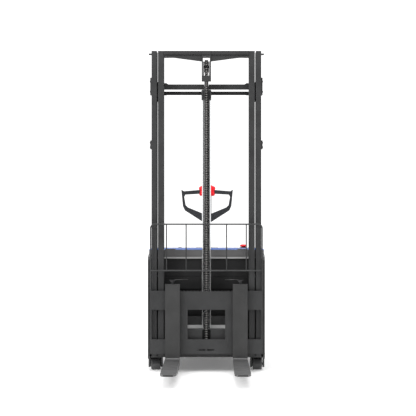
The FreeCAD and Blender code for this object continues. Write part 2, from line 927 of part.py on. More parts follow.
def mass_block(size, y_low, z_low):
    """A plain block that stands for a heavy unit closed inside the body."""
    return centred_block(0.0, y_low + size[1] / 2.0, z_low, size)


def battery():
    return mass_block(battery_size, back(bulkhead_front) + wall_thickness + inside_gap, deck_z)


def counterweight():
    return mass_block(counterweight_size, back(bulkhead_back) - inside_gap - counterweight_size[1], deck_z)


def pump_unit():
    y_low = back(bulkhead_back) + wall_thickness + inside_gap
    return mass_block(pump_size, y_low, rear_frame_z + wall_thickness)


def hinge_axis():
    return back(lid_front) - lid_hinge_pin, body_top_z + lid_hinge_rise


def hinge_knuckle(x_low, x_high, radius):
    y, z = hinge_axis()
    return bar(radius, (x_low, y, z), (x_high, y, z))


def lid_knuckles(radius, extra=0.0):
    """The two outer knuckles of each lid hinge."""
    half = lid_hinge_length / 2.0 + seat_gap
    pieces = []
    for low, high in ((half, half + lid_hinge_length), (-half - lid_hinge_length, -half)):
        pieces += both_sides(hinge_knuckle(lid_hinge_x + low - extra, lid_hinge_x + high + extra, radius))
    return pieces


def front_cowl():
    """The fixed cowl on the front bulkhead, its lip, and the middle knuckles and pins of the hinges."""
    front_y = back(bulkhead_front)
    face = block(
        (-wall_inner_x, wall_inner_x),
        (front_y, front_y + cowl_thickness),
        (lid_skirt_z - seat_gap, body_top_z - cowl_top_drop),
    )
    lip = block(
        (-wall_inner_x, wall_inner_x),
        (front_y - cowl_lip_depth, front_y),
        (lid_skirt_z - seat_gap, lid_skirt_z + cowl_lip_height),
    )
    half = lid_hinge_length / 2.0
    middle = both_sides(hinge_knuckle(lid_hinge_x - half, lid_hinge_x + half, lid_hinge_radius))
    reach = half + lid_hinge_length
    pins = both_sides(hinge_knuckle(lid_hinge_x - reach, lid_hinge_x + reach, lid_hinge_pin))
    cowl = join([face, lip]).cut(lid_knuckles(lid_hinge_radius + lid_hinge_room, lid_hinge_room))
    return join([cowl] + middle + pins)


def battery_lid():
    """A pressed lid with a skirt all round, open below, and the outer knuckles of its hinges."""
    half = overall_width / 2.0
    outside = block((-half, half), (back(lid_front), back(lid_back)), (lid_skirt_z, body_top_z - lid_panel))
    round_edges = edges_along(
        outside, Z_AXIS, lambda p: abs(abs(p.x) - half) < 0.1 and abs(p.y - back(lid_front)) < 0.1
    )
    outside = outside.makeFillet(lid_corner_radius, round_edges)
    inside = block(
        (-half + lid_wall, half - lid_wall),
        (back(lid_front) + lid_wall, back(lid_back) - lid_wall),
        (lid_skirt_z - overreach, body_top_z - lid_panel - lid_wall),
    )
    lid_middle = back((lid_front + lid_back) / 2.0)
    inside_edges = edges_along(inside, Z_AXIS, lambda p: p.y < lid_middle)
    inside = inside.makeFillet(lid_corner_radius - lid_wall, inside_edges)
    reach = lid_hinge_length / 2.0 + lid_hinge_room
    room_radius = lid_hinge_radius + lid_hinge_room
    middle = both_sides(hinge_knuckle(lid_hinge_x - reach, lid_hinge_x + reach, room_radius))
    shell = join([outside.cut(inside)] + lid_knuckles(lid_hinge_radius))
    bores = lid_knuckles(lid_hinge_pin + running_clearance, lid_hinge_room)
    return shell.cut(middle + bores)


def lid_panel_top():
    """The coloured panel on the lid."""
    half = overall_width / 2.0
    panel = block((-half, half), (back(lid_front), back(lid_back)), (body_top_z - lid_panel, body_top_z))
    lid_middle = back((lid_front + lid_back) / 2.0)
    corners = edges_along(panel, Z_AXIS, lambda p: p.y < lid_middle)
    reach = lid_hinge_length * 1.5 + 2.0 * lid_hinge_room
    room_radius = lid_hinge_radius + lid_hinge_room
    room = both_sides(hinge_knuckle(lid_hinge_x - reach, lid_hinge_x + reach, room_radius))
    return panel.makeFillet(lid_corner_radius, corners).cut(room)


def console():
    """The fixed upper cowl behind the lid, hollow and open below."""
    half = overall_width / 2.0
    y_range = (back(lid_back + lid_gap), back(console_back))
    outside = block((-half, half), y_range, (lid_skirt_z, body_top_z))
    corners = edges_along(outside, Z_AXIS, lambda p: abs(p.y - y_range[1]) < 0.1)
    outside = outside.makeFillet(console_corner_radius, corners)
    rear_face = block(
        (-half + console_corner_radius, half - console_corner_radius),
        (y_range[1] - cover_wall, y_range[1]),
        (cover_top_z, lid_skirt_z),
    )
    inside = block(
        (-half + cover_wall, half - cover_wall),
        (y_range[0] + cover_wall, y_range[1] - cover_wall),
        (lid_skirt_z - overreach, body_top_z - cover_wall),
    )
    console_middle = (y_range[0] + y_range[1]) / 2.0
    inside_corners = edges_along(inside, Z_AXIS, lambda p: p.y > console_middle)
    inside = inside.makeFillet(console_corner_radius - cover_wall, inside_corners)
    return join([outside.cut(inside), rear_face])


def cover_plan(inset, z_low, z_high):
    """The rounded plan of the rear cover, straight sides then one arc round the back."""
    half = overall_width / 2.0 - inset
    front_y = back(wall_back) + seat_gap
    side_y = back(steer_back - cover_side_lead)
    rear_y = back(body_length) - inset
    points = [Vector(-half, front_y, z_low), Vector(half, front_y, z_low), Vector(half, side_y, z_low)]
    edges = [
        Part.LineSegment(points[0], points[1]).toShape(),
        Part.LineSegment(points[1], points[2]).toShape(),
        Part.Arc(points[2], Vector(0, rear_y, z_low), Vector(-half, side_y, z_low)).toShape(),
        Part.LineSegment(Vector(-half, side_y, z_low), points[0]).toShape(),
    ]
    return Part.Face(Part.Wire(edges)).extrude(Vector(0, 0, z_high - z_low))


def crowned(shape, top_z, chamfer):
    """Bevels the top edges of the rear cover's plan, apart from the straight front one."""
    rim = []
    for edge in shape.Edges:
        on_top = all(abs(vertex.Z - top_z) < 0.1 for vertex in edge.Vertexes)
        if on_top and edge.CenterOfMass.y > back(wall_back) + 1.0:
            rim.append(edge)
    return shape.makeChamfer(chamfer, rim)


def rear_cover():
    """The moulded cover over the drive unit, hollow and open below, with the steering neck's hole."""
    outside = crowned(cover_plan(0.0, cover_foot_z, cover_top_z), cover_top_z, cover_edge_chamfer)
    inside_top = cover_top_z - cover_wall
    inside = cover_plan(cover_wall, cover_foot_z - overreach, inside_top)
    inside = crowned(inside, inside_top, cover_edge_chamfer - cover_wall / 2.0)
    y = back(steer_back)
    hole = bar(neck_hole_radius, (0, y, inside_top - overreach), (0, y, cover_top_z + overreach))
    return outside.cut(inside).cut(hole)


def deck_bridge():
    """The low deck between the console's rear face and the rear cover."""
    return between_walls((back(console_back), back(wall_back)), (cover_top_z - cover_wall, cover_top_z))


def emergency_stop():
    """The mushroom push button on its collar, turned from its profile."""
    x, distance = stop_place
    centre = Vector(x, back(distance), body_top_z)
    corners = [centre + Vector(radius, 0, height) for radius, height in stop_profile]
    return Part.Face(Part.makePolygon(corners + corners[:1])).revolve(centre, Z_AXIS, 360.0)


def centred_block(x, y, z_low, size):
    """A block of a stated length, depth and height that stands on z_low about x, y."""
    length, depth, height = size
    x_range = (x - length / 2.0, x + length / 2.0)
    y_range = (y - depth / 2.0, y + depth / 2.0)
    return block(x_range, y_range, (z_low, z_low + height))


def key_and_display():
    """A blank display and the key switch on the console."""
    y = back(display_back)
    display = centred_block(0.0, y, body_top_z, display_size)
    switch_top = body_top_z + key_switch_height
    switch = bar(key_switch_radius, (key_x, y, body_top_z), (key_x, y, switch_top))
    key = centred_block(key_x, y, switch_top, key_blade)
    return Part.makeCompound([display, join([switch, key])])


def turned_wheel(centre, radius, width, bore_radius, crown):
    """A wheel turned about the x axis, with rounded shoulders and a bore."""
    half = width / 2.0
    points = [
        (-half, bore_radius),
        (half, bore_radius),
        (half, radius - crown),
        (half - crown, radius),
        (-half + crown, radius),
        (-half, radius - crown),
    ]
    middle = Vector(*centre)
    corners = [middle + Vector(x, 0, r) for x, r in points]
    return Part.Face(Part.makePolygon(corners + corners[:1])).revolve(middle, X_AXIS, 360.0)


def load_wheel(side):
    centre = (side * load_wheel_x, back(load_wheel_back), load_wheel_radius)
    bore = load_axle_radius + running_clearance
    return turned_wheel(centre, load_wheel_radius, load_wheel_width, bore, load_wheel_crown)


def drive_tyre():
    centre = (0, back(steer_back), drive_wheel_radius)
    inner = drive_wheel_radius - drive_tyre_thickness
    return turned_wheel(centre, drive_wheel_radius, drive_wheel_width, inner, drive_tyre_crown)


def drive_hub():
    """A hub dished on both sides."""
    centre = Vector(0, back(steer_back), drive_wheel_radius)
    outer = drive_wheel_radius - drive_tyre_thickness
    half = drive_wheel_width / 2.0
    bore = drive_bore_radius + running_clearance
    rim = outer - hub_rim
    side = [(half, bore), (half, hub_boss), (hub_web, hub_boss), (hub_web, rim), (half, rim), (half, outer)]
    other_side = [(-x, radius) for x, radius in reversed(side)]
    corners = [centre + Vector(x, 0, radius) for x, radius in side + other_side]
    return Part.Face(Part.makePolygon(corners + corners[:1])).revolve(centre, X_AXIS, 360.0)


def turret_frame():
    """The steered frame: swivel ring, wheel fork and axle, and the neck up to the tiller's ears."""
    y = back(steer_back)
    ring_low = rear_frame_z - turret_plate / 2.0
    ring = bar(turret_radius, (0, y, ring_low), (0, y, ring_low + turret_plate))
    gap = drive_wheel_width / 2.0 + drive_wheel_gap
    cheek = outline_yz(
        [
            (y - turret_leg_foot, drive_wheel_radius - turret_leg_foot),
            (y + turret_leg_foot, drive_wheel_radius - turret_leg_foot),
            (y + turret_leg_top, ring_low),
            (y - turret_leg_top, ring_low),
        ],
        gap,
        gap + turret_leg_thickness,
    )
    axle = bar(drive_bore_radius, (-gap, y, drive_wheel_radius), (gap, y, drive_wheel_radius))
    neck = bar(neck_radius, (0, y, motor_top_z), (0, y, cover_top_z + neck_rise))
    ear_inner = tiller_ear_gap / 2.0
    ear = block(
        (ear_inner, ear_inner + tiller_ear_thickness),
        (y - ear_half_length, y + ear_half_length),
        (cover_top_z + neck_rise / 2.0, tiller_pivot_z),
    )
    ear_outer = ear_inner + tiller_ear_thickness
    ear = ear.fuse(bar(ear_half_length, (ear_inner, y, tiller_pivot_z), (ear_outer, y, tiller_pivot_z)))
    pin = bar(tiller_pin_radius, (-ear_inner, y, tiller_pivot_z), (ear_inner, y, tiller_pivot_z))
    return join([ring, axle] + both_sides(cheek)), join([neck, pin] + both_sides(ear))


def drive_motor():
    """The upright drive motor, closed inside the rear cover, as a plain drum."""
    y = back(steer_back)
    return bar(motor_radius, (0, y, rear_frame_z + turret_plate / 2.0), (0, y, motor_top_z))


def caster_fork(side):
    """A swivel head, two fork legs and the wheel's axle."""
    x = side * caster_x
    y = back(caster_back)
    wheel_y = y + caster_trail
    top = caster_plate_z - caster_swivel_gap
    head = bar(caster_head_radius, (x, y, top - caster_head_height), (x, y, top))
    bolt = bar(caster_bolt_radius, (x, y, top), (x, y, caster_plate_z))
    gap = caster_width / 2.0 + caster_side_gap
    half = gap + caster_leg_thickness
    leg_top = top - caster_leg_drop
    leg_foot = caster_radius - caster_leg_drop
    crown = block(
        (x - half, x + half),
        (y - caster_crown_lead, wheel_y + caster_leg_half_depth),
        (leg_top - caster_crown_thickness, leg_top),
    )
    leg_outline = [
        (y - caster_crown_lead, leg_top),
        (wheel_y - caster_leg_half_depth, leg_foot),
        (wheel_y + caster_leg_half_depth, leg_foot),
        (wheel_y + caster_leg_half_depth, leg_top),
    ]
    legs = [outline_yz(leg_outline, low, low + caster_leg_thickness) for low in (x - half, x + gap)]
    axle = bar(caster_axle_radius, (x - gap, wheel_y, caster_radius), (x + gap, wheel_y, caster_radius))
    return join([head, bolt, crown] + legs + [axle])


def caster_wheel(side):
    centre = (side * caster_x, back(caster_back) + caster_trail, caster_radius)
    bore = caster_axle_radius + running_clearance
    return turned_wheel(centre, caster_radius, caster_width, bore, caster_wheel_crown)


def tiller_arm():
    """The boss on the pivot pin and the tapered arm up to the head."""
    y = back(steer_back)
    half = tiller_ear_gap / 2.0 - tiller_side_gap
    boss = bar(tiller_boss_radius, (-half, y, tiller_pivot_z), (half, y, tiller_pivot_z))
    foot = tiller_arm_width / 2.0 + tiller_arm_flare
    top = tiller_arm_width / 2.0
    arm = outline_xz(
        [(-foot, tiller_pivot_z), (foot, tiller_pivot_z), (top, head_foot_z), (-top, head_foot_z)],
        y - tiller_arm_depth / 2.0,
        y + tiller_arm_depth / 2.0,
    )
    long_edges = [edge for edge in arm.Edges if edge.Length > (head_foot_z - tiller_pivot_z) / 2.0]
    arm = arm.makeFillet(tiller_arm_round, long_edges)
    bore = bar(tiller_pin_radius + running_clearance, (-half, y, tiller_pivot_z), (half, y, tiller_pivot_z))
    return join([boss, arm]).cut(bore)


def symmetric(half_outline):
    """Both halves of an outline given as (x, height above the head's foot) on one side."""
    right = [(x, head_foot_z + height) for x, height in half_outline]
    left = [(-x, z) for x, z in reversed(right)]
    return right + left


def tiller_head():
    """The looped head: sloped lower arms, upright ears and a central column."""
    y = back(steer_back)
    y_range = (y - head_depth / 2.0, y + head_depth / 2.0)
    loop = outline_xz(symmetric([(head_column_width / 2.0, 0.0)] + head_outline), *y_range)
    hole_points = [(x, head_foot_z + height) for x, height in hand_hole]
    hole = outline_xz(hole_points, y_range[0] - overreach, y_range[1] + overreach)
    return loop.cut(both_sides(hole))


def tiller_buttons():
    """The thumb switch blocks on the front and back of the head."""
    y = back(steer_back)
    front_y = y - head_depth / 2.0
    rear_y = y + head_depth / 2.0
    outline = symmetric(switch_outline)
    front = outline_xz(outline, front_y - button_depth, front_y)
    rear = outline_xz(outline, rear_y, rear_y + button_depth)
    return Part.makeCompound([front, rear])


def build():
    os.makedirs("parts", exist_ok=True)
    outer = outer_upright()
    inner = inner_upright()
    fork_frame, neck_frame = turret_frame()
    chain_front_y = cylinder_y - chain_radius
    chain_rear_y = cylinder_y + chain_radius
    nodes = {
        "chassis_frame": chassis_frame(),
        "front_cowl": front_cowl(),
        "mast_base": mast_base(),
        "battery": battery(),
        "counterweight": counterweight(),
        "pump_unit": pump_unit(),
        "console": console(),
        "rear_cover": rear_cover(),
        "deck_bridge": deck_bridge(),
        "emergency_stop": emergency_stop(),
        "key_and_display": key_and_display(),
        "outer_upright_left": mirrored(outer),
        "outer_upright_right": outer,
        "outer_beams": outer_beams(),
        "mast_side_pads": mast_side_pads(),
        "lift_barrel": lift_barrel(),
        "cylinder_gland": cylinder_gland(),
        "lift_pipe": lift_pipe(),
        "chain_rear": straight_chain(chain_rear_y, gland_top_z - chain_end_drop, pulley_z),
        "battery_lid": battery_lid(),
        "lid_panel": lid_panel_top(),
        "inner_upright_left": mirrored(inner),
        "inner_upright_right": inner,
        "inner_top_beam": inner_top_beam(),
        "inner_rear_beams": inner_rear_beams(),
        "inner_rollers": inner_rollers(),
        "piston_rod": piston_rod(),
        "pulley_carrier": pulley_carrier(),
        "chain_front": straight_chain(chain_front_y, chain_foot_z, pulley_z),
        "chain_over_pulley": chain_over_pulley(),
        "chain_pulley": chain_pulley(),
        "carriage_frame": carriage_frame(),
        "carriage_rollers": carriage_rollers(),
        "chain_anchor": chain_anchor(),
        "fork_left": fork(-1),
        "fork_right": fork(1),
        "fork_latches": fork_latches(),
        "backrest": backrest(),
        "load_wheel_left": load_wheel(-1),
        "load_wheel_right": load_wheel(1),
        "drive_tyre": drive_tyre(),
        "drive_hub": drive_hub(),
        "turret_frame": fork_frame,
        "steering_neck": neck_frame,
        "drive_motor": drive_motor(),
        "caster_fork_left": caster_fork(-1),
        "caster_fork_right": caster_fork(1),
        "caster_wheel_left": caster_wheel(-1),
        "caster_wheel_right": caster_wheel(1),
        "tiller_arm": tiller_arm(),
        "tiller_head": tiller_head(),
        "tiller_buttons": tiller_buttons(),
    }
    for name, shape in nodes.items():
        save(name, shape)


build()
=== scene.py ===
import json
import math

import bpy
from mathutils import Matrix, Vector


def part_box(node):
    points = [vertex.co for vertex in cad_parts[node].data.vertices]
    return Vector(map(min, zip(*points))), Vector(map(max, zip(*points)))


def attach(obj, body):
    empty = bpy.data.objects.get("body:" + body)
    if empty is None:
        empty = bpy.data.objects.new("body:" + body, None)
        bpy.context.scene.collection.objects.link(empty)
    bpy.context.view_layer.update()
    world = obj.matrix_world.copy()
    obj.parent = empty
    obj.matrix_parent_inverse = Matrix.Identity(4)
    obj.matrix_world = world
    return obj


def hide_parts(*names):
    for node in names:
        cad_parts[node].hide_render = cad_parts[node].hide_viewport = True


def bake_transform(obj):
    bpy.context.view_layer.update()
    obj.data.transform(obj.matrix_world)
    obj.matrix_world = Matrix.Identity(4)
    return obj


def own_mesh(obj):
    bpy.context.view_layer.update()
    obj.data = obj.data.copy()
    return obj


# Looks of the narrow aisle stacker. Metres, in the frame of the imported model: forks to -Y, Z up.

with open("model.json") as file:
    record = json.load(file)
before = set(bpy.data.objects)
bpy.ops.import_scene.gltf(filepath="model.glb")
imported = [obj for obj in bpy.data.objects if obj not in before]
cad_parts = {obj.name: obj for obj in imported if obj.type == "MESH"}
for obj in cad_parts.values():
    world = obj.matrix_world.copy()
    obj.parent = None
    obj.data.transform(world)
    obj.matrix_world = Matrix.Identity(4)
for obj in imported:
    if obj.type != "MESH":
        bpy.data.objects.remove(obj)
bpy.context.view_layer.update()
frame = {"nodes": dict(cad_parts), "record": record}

# Studio and camera
CAMERA_PLACE = (0.05, -11.295, 1.02)
CAMERA_LENS = 141.5
CAMERA_SHIFT = (-0.0137, 0.034)
CAMERA_FAR = 300.0
WORLD_STRENGTH = 1.25
FLOOR_HALF_SIZE = 60.0
FLOOR_ROUGHNESS = 0.6
FLOOR_TONES = ((0.93, 0.93, 0.93), (0.95, 0.95, 0.95))
FLOOR_GLOW = 0.14
CARD_FOOT_RADIUS = 2.2
CARD_TOP_RADIUS = 4.0
CARD_HEIGHT = 4.0
CARD_DARK_BELOW = 0.8
CARD_LIGHT_ABOVE = 1.1
CARD_HALF_ANGLE = math.radians(88.0)
CARD_STEPS = 32
CARD_LIGHT = (0.16, 0.16, 0.16)
CARD_DARK = (0.012, 0.012, 0.012)
CARD_EDGES = (0.1, 0.6)

# Lights: place, target, width and height, watts
KEY_LIGHT = ((-5.5, -5.5, 5.6), (0.0, 0.0, 2.2), (1.6, 4.0), 260.0)
TOP_LIGHT = ((0.5, 0.5, 7.0), (0.0, 0.0, 0.5), (5.0, 5.0), 160.0)

# Roller chain
CHAIN_PITCH = 0.015875
PLATE_HALF_HEIGHT = 0.0058
PLATE_THICKNESS = 0.0022
OUTER_PLATE_X = 0.0094
INNER_PLATE_X = 0.0069
ROLLER_RADIUS = 0.0050
ROLLER_HALF_LENGTH = 0.0056
PIN_RADIUS = 0.0024
PIN_HALF_LENGTH = 0.0118
PLATE_END_SHARE = 0.8
TURN_PITCH_SHARE = 0.96
ROUND_STEPS = 6
PIN_STEPS = 12

# Bolts on the pads of the mast
BOLT_RADIUS = 0.006
BOLT_STEPS = 6
WASHER_SHARE = 1.3
WASHER_THICKNESS = 0.0012
WASHER_STEPS = 24
BOLT_HEAD = ((1.0, 0.5), (0.86, 0.62))
PAD_BOLT_Z = (1.915, 1.985, 1.535, 1.565)
PAD_RISE = 0.010

# Hydraulic pipe behind the cylinder, with the side of the barrel that it climbs
PIPE_RADIUS = 0.0050
PIPE_BEND = 0.0140
PIPE_SIDE = (0.64, 0.77)
PIPE_BEND_STEPS = 4
TUBE_STEPS = 12

# Small parts of the mast and its base
STRIP_GAP = 0.0053
STRIP_THICKNESS = 0.004
STRIP_TOP_GAP = 0.004
PAD_GAP = 0.0008
PAD_THICKNESS = 0.0045
PAD_Z = (1.85, 1.985)
# Dark strip of painted shadow under the top beam's flange
BEAM_SHADOW_DROP = 0.024
BEAM_SHADOW_HEIGHT = 0.006
BEAM_SHADOW_REACH = 0.0008
GUSSET_REACH = 0.030
GUSSET_FLAT_SHARE = 0.45
GUSSET_RISE = 0.010
GUSSET_SINK = 0.009
GUSSET_THICKNESS = 0.008
GUSSET_SETBACK = 0.001
OUTER_BEAM_HEIGHT = 0.033
# Near-black plates behind the load wheels: painted shade under the machine
SHADE_PLATE_GAP = 0.016
SHADE_PLATE_THICKNESS = 0.003
SHADE_PLATE_RISE = 0.006
SHADE_PLATE_REACH = (0.012, 0.0042)
FOOT_HALF_WIDTH = 0.028
FOOT_THICKNESS = 0.0035
FOOT_CROWN = 0.012
FOOT_STEPS = 8
FLANGE_RISE = 0.022
FLANGE_DEPTH = 0.020
FLANGE_PLATE = 0.003
FLANGE_GAP = 0.001

# Small parts of the hood
QUARTER_STEPS = 6
LIP_RISE = 0.0125
LIP_REACH = 0.010
LINER_THICKNESS = 0.0012
LINER_OVERHANG = 0.05
RIB_DEPTH = 0.0036
RIB_Z = (0.535, 0.545, 0.565, 0.575)
STOP_COLLAR = ((0.95, 0.0), (0.92, 0.004), (0.6, 0.005))
STOP_STEM = ((0.55, 0.003), (0.6, 0.008), (0.9, 0.009))
STOP_CROWN = 0.2
STOP_RIM_Z = 0.012
STOP_RISE = 0.013
COLLAR_STEPS = 40
CAP_STEPS = 48
BEZEL_RISE = 0.0022
BEZEL_SLOPE = 0.002
GLASS_INSET = 0.012
GLASS_SLOPE = 0.001
GLASS_RISE = 0.0004
GLASS_END = 0.014
SWITCH_INSET = 0.014
SWITCH_PROFILE = ((0.014, 0.0), (0.014, 0.002), (0.0115, 0.0035), (0.006, 0.0035))
KEY_OUTLINE = ((-0.009, 0.003), (0.009, 0.003), (0.008, 0.0065), (-0.008, 0.0065))
KEY_HALF_THICKNESS = 0.0012

# Thumb block of the tiller, as shares of half its width and of its height
BLOCK_SIDE = (
    (0.90, -0.02),
    (0.94, 0.20),
    (0.84, 0.42),
    (1.00, 0.62),
    (0.96, 0.80),
    (0.62, 0.90),
    (0.30, 1.02),
)
BLOCK_MIDDLE = 0.45
BLOCK_SLICES = 9
BLOCK_END_SHARE = 0.70
BLOCK_FULLNESS = 3.5
CORNER_CUT = 0.25
CORNER_ROUNDS = 2

# Levers of the fork latches
LEVER_REACH = 0.105
LEVER_RADIUS = 0.0016
LEVER_INSET = 0.022
LEVER_BEND = 0.02
LEVER_DROP = 0.003
LEVER_RISE = 0.004
LEVER_STEPS = 8

# Edges of the nodes that are softened
BEVEL_SEGMENTS = 3
BEVEL_ANGLE = math.radians(35.0)

# Surfaces: noise scales per metre, and the ranges over which tone, gloss, wear and the painted top light
# vary
TONE_SCALE = 7.0
FLECK_SCALE = 90.0
PATCH_SCALE = 3.0
GLOSS_SCALE = 18.0
TOP_WEAR_AND_LIGHT_SCALE = 14.0
FLOOR_SCALE = 0.6
FLECK_DETAIL = 8.0
FLECK_ROUGHNESS = 0.7
GRAIN_DETAIL = 3.0
GRAIN_DEPTH = 0.0006
GLOSS_RANGE = 0.07
LEAST_ROUGHNESS = 0.02
BLOTCH_EDGES = (0.35, 0.65)
NOISE_RANGE = (0.3, 0.7)
FLECK_EDGES = (0.66, 0.74)
FLECK_SPREAD = 0.1
PATCH_EDGES = (0.5, 0.66)
# Faces that look upwards: lighter, partly rubbed wear and partly painted top light; the bend share sets a
# painted highlight at the heel
UPWARD_WEAR_AND_LIGHT_RANGE = (0.6, 0.99)
TOP_WEAR_AND_LIGHT_DARK_SHARE = 0.75
BEND_HIGHLIGHT_SHARE = 11.0
SHEEN_ROUGHNESS = 0.5


# Mesh building

class Shape:
    """Vertices and faces of one piece, gathered from simple solids."""

    def __init__(self):
        self.vertices = []
        self.faces = []

    def add(self, vertices, faces, place=None):
        start = len(self.vertices)
        matrix = place or Matrix.Identity(4)
        self.vertices += [matrix @ Vector(v) for v in vertices]
        self.faces += [[start + i for i in face] for face in faces]

    def prism_x(self, outline, x_low, x_high, place=None):
        """An outline of (y, z) points between two x planes."""
        count = len(outline)
        vertices = [(x_low, y, z) for y, z in outline] + [(x_high, y, z) for y, z in outline]
        faces = [list(range(count))[::-1], list(range(count, 2 * count))]
        for i in range(count):
            j = (i + 1) % count
            faces.append([i, j, count + j, count + i])
        self.add(vertices, faces, place)

    def lathe(self, profile, axis_place, steps=32):
        """Turns a profile of (radius, height) about the z axis of axis_place."""
        vertices = []
        faces = []
        for radius, height in profile:
            for step in range(steps):
                angle = 2.0 * math.pi * step / steps
                vertices.append((radius * math.cos(angle), radius * math.sin(angle), height))
        for ring in range(len(profile) - 1):
            for step in range(steps):
                a = ring * steps + step
                b = ring * steps + (step + 1) % steps
                faces.append([a, b, b + steps, a + steps])
        last = (len(profile) - 1) * steps
        faces.append(list(range(steps))[::-1])
        faces.append(list(range(last, last + steps)))
        self.add(vertices, faces, axis_place)

    def piece(self, name, material, body, smooth=False):
        mesh = bpy.data.meshes.new(name)
        mesh.from_pydata([tuple(v) for v in self.vertices], [], self.faces)
        mesh.update()
        mesh.materials.append(material)
        if smooth:
            mesh.polygons.foreach_set("use_smooth", [True] * len(mesh.polygons))
            mesh.update()
        thing = bpy.data.objects.new(name, mesh)
        bpy.context.scene.collection.objects.link(thing)
        if body:
            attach(thing, body)
        return thing


def along_axis(point, axis):
    """A matrix whose z axis points along axis, at point."""
    turn = Vector((0.0, 0.0, 1.0)).rotation_difference(Vector(axis))
    return Matrix.Translation(Vector(point)) @ turn.to_matrix().to_4x4()


# Materials

def new_material(name):
    material = bpy.data.materials.new(name)
    material.use_nodes = True
    tree = material.node_tree
    shader = tree.nodes["Principled BSDF"]
    place = tree.nodes.new("ShaderNodeTexCoord")
    return material, tree, shader, place.outputs["Object"]


def noise(tree, place, scale, detail=5.0, roughness=0.55):
    node = tree.nodes.new("ShaderNodeTexNoise")
    node.inputs["Scale"].default_value = scale
    node.inputs["Detail"].default_value = detail
    node.inputs["Roughness"].default_value = roughness
    tree.links.new(place, node.inputs["Vector"])
    return node.outputs["Fac"]


def stretched(tree, place, scale):
    node = tree.nodes.new("ShaderNodeMapping")
    node.inputs["Scale"].default_value = scale
    tree.links.new(place, node.inputs["Vector"])
    return node.outputs["Vector"]


def ramp(tree, value, low, high, low_color, high_color):
    node = tree.nodes.new("ShaderNodeValToRGB")
    first, last = node.color_ramp.elements
    first.position = low
    first.color = (*low_color, 1.0)
    last.position = high
    last.color = (*high_color, 1.0)
    tree.links.new(value, node.inputs["Fac"])
    return node.outputs["Color"]


def spread(tree, value, low, high):
    node = tree.nodes.new("ShaderNodeMapRange")
    node.inputs["From Min"].default_value = NOISE_RANGE[0]
    node.inputs["From Max"].default_value = NOISE_RANGE[1]
    node.inputs["To Min"].default_value = low
    node.inputs["To Max"].default_value = high
    tree.links.new(value, node.inputs["Value"])
    return node.outputs["Result"]


def mixed(tree, factor, first, second):
    node = tree.nodes.new("ShaderNodeMix")
    node.data_type = "RGBA"
    tree.links.new(factor, node.inputs["Factor"])
    tree.links.new(first, node.inputs["A"])
    tree.links.new(second, node.inputs["B"])
    return node.outputs["Result"]


def bumped(tree, shader, height, strength, distance):
    node = tree.nodes.new("ShaderNodeBump")
    node.inputs["Strength"].default_value = strength
    node.inputs["Distance"].default_value = distance
    tree.links.new(height, node.inputs["Height"])
    tree.links.new(node.outputs["Normal"], shader.inputs["Normal"])


def surface(name, color, roughness, metallic=0.0, variation=0.12, wear=0.0, wear_color=(0.3, 0.3, 0.3),
            grain=500.0, bump=0.15, coat=0.0, specular=0.5, stretch=None, worn_and_lit_top_color=None):
    """A procedural surface: blotchy tone, worn flecks, uneven gloss and a fine grain, and where asked a
    lighter top that is partly rubbed wear and partly painted top light.
    """
    material, tree, shader, place = new_material(name)
    if stretch:
        place = stretched(tree, place, stretch)
    dark = tuple(c * (1.0 - variation) for c in color)
    light = tuple(min(1.0, c * (1.0 + variation)) for c in color)
    tone = ramp(tree, noise(tree, place, TONE_SCALE), *BLOTCH_EDGES, dark, light)
    if wear > 0.0:
        tone = worn_flecks(tree, place, tone, wear, wear_color)
    if worn_and_lit_top_color:
        tone = worn_and_lit_top(tree, place, tone, worn_and_lit_top_color)
    tree.links.new(tone, shader.inputs["Base Color"])
    smooth_end = max(LEAST_ROUGHNESS, roughness - GLOSS_RANGE)
    dull_end = min(1.0, roughness + GLOSS_RANGE)
    gloss = spread(tree, noise(tree, place, GLOSS_SCALE), smooth_end, dull_end)
    tree.links.new(gloss, shader.inputs["Roughness"])
    bumped(tree, shader, noise(tree, place, grain, GRAIN_DETAIL), bump, GRAIN_DEPTH)
    shader.inputs["Metallic"].default_value = metallic
    shader.inputs["Coat Weight"].default_value = coat
    shader.inputs["Specular IOR Level"].default_value = specular
    return material


def plain_color(tree, color):
    node = tree.nodes.new("ShaderNodeRGB")
    node.outputs[0].default_value = (*color, 1.0)
    return node.outputs[0]


def worn_flecks(tree, place, tone, wear, wear_color):
    """Lays fine flecks of wear_color over tone, in patches."""
    fleck_noise = noise(tree, place, FLECK_SCALE, FLECK_DETAIL, FLECK_ROUGHNESS)
    low_edge = FLECK_EDGES[0] - wear * FLECK_SPREAD
    flecks = ramp(tree, fleck_noise, low_edge, FLECK_EDGES[1], (0, 0, 0), (1, 1, 1))
    patches = ramp(tree, noise(tree, place, PATCH_SCALE), *PATCH_EDGES, (0, 0, 0), (wear, wear, wear))
    both = tree.nodes.new("ShaderNodeMath")
    both.operation = "MULTIPLY"
    tree.links.new(flecks, both.inputs[0])
    tree.links.new(patches, both.inputs[1])
    return mixed(tree, both.outputs[0], tone, plain_color(tree, wear_color))


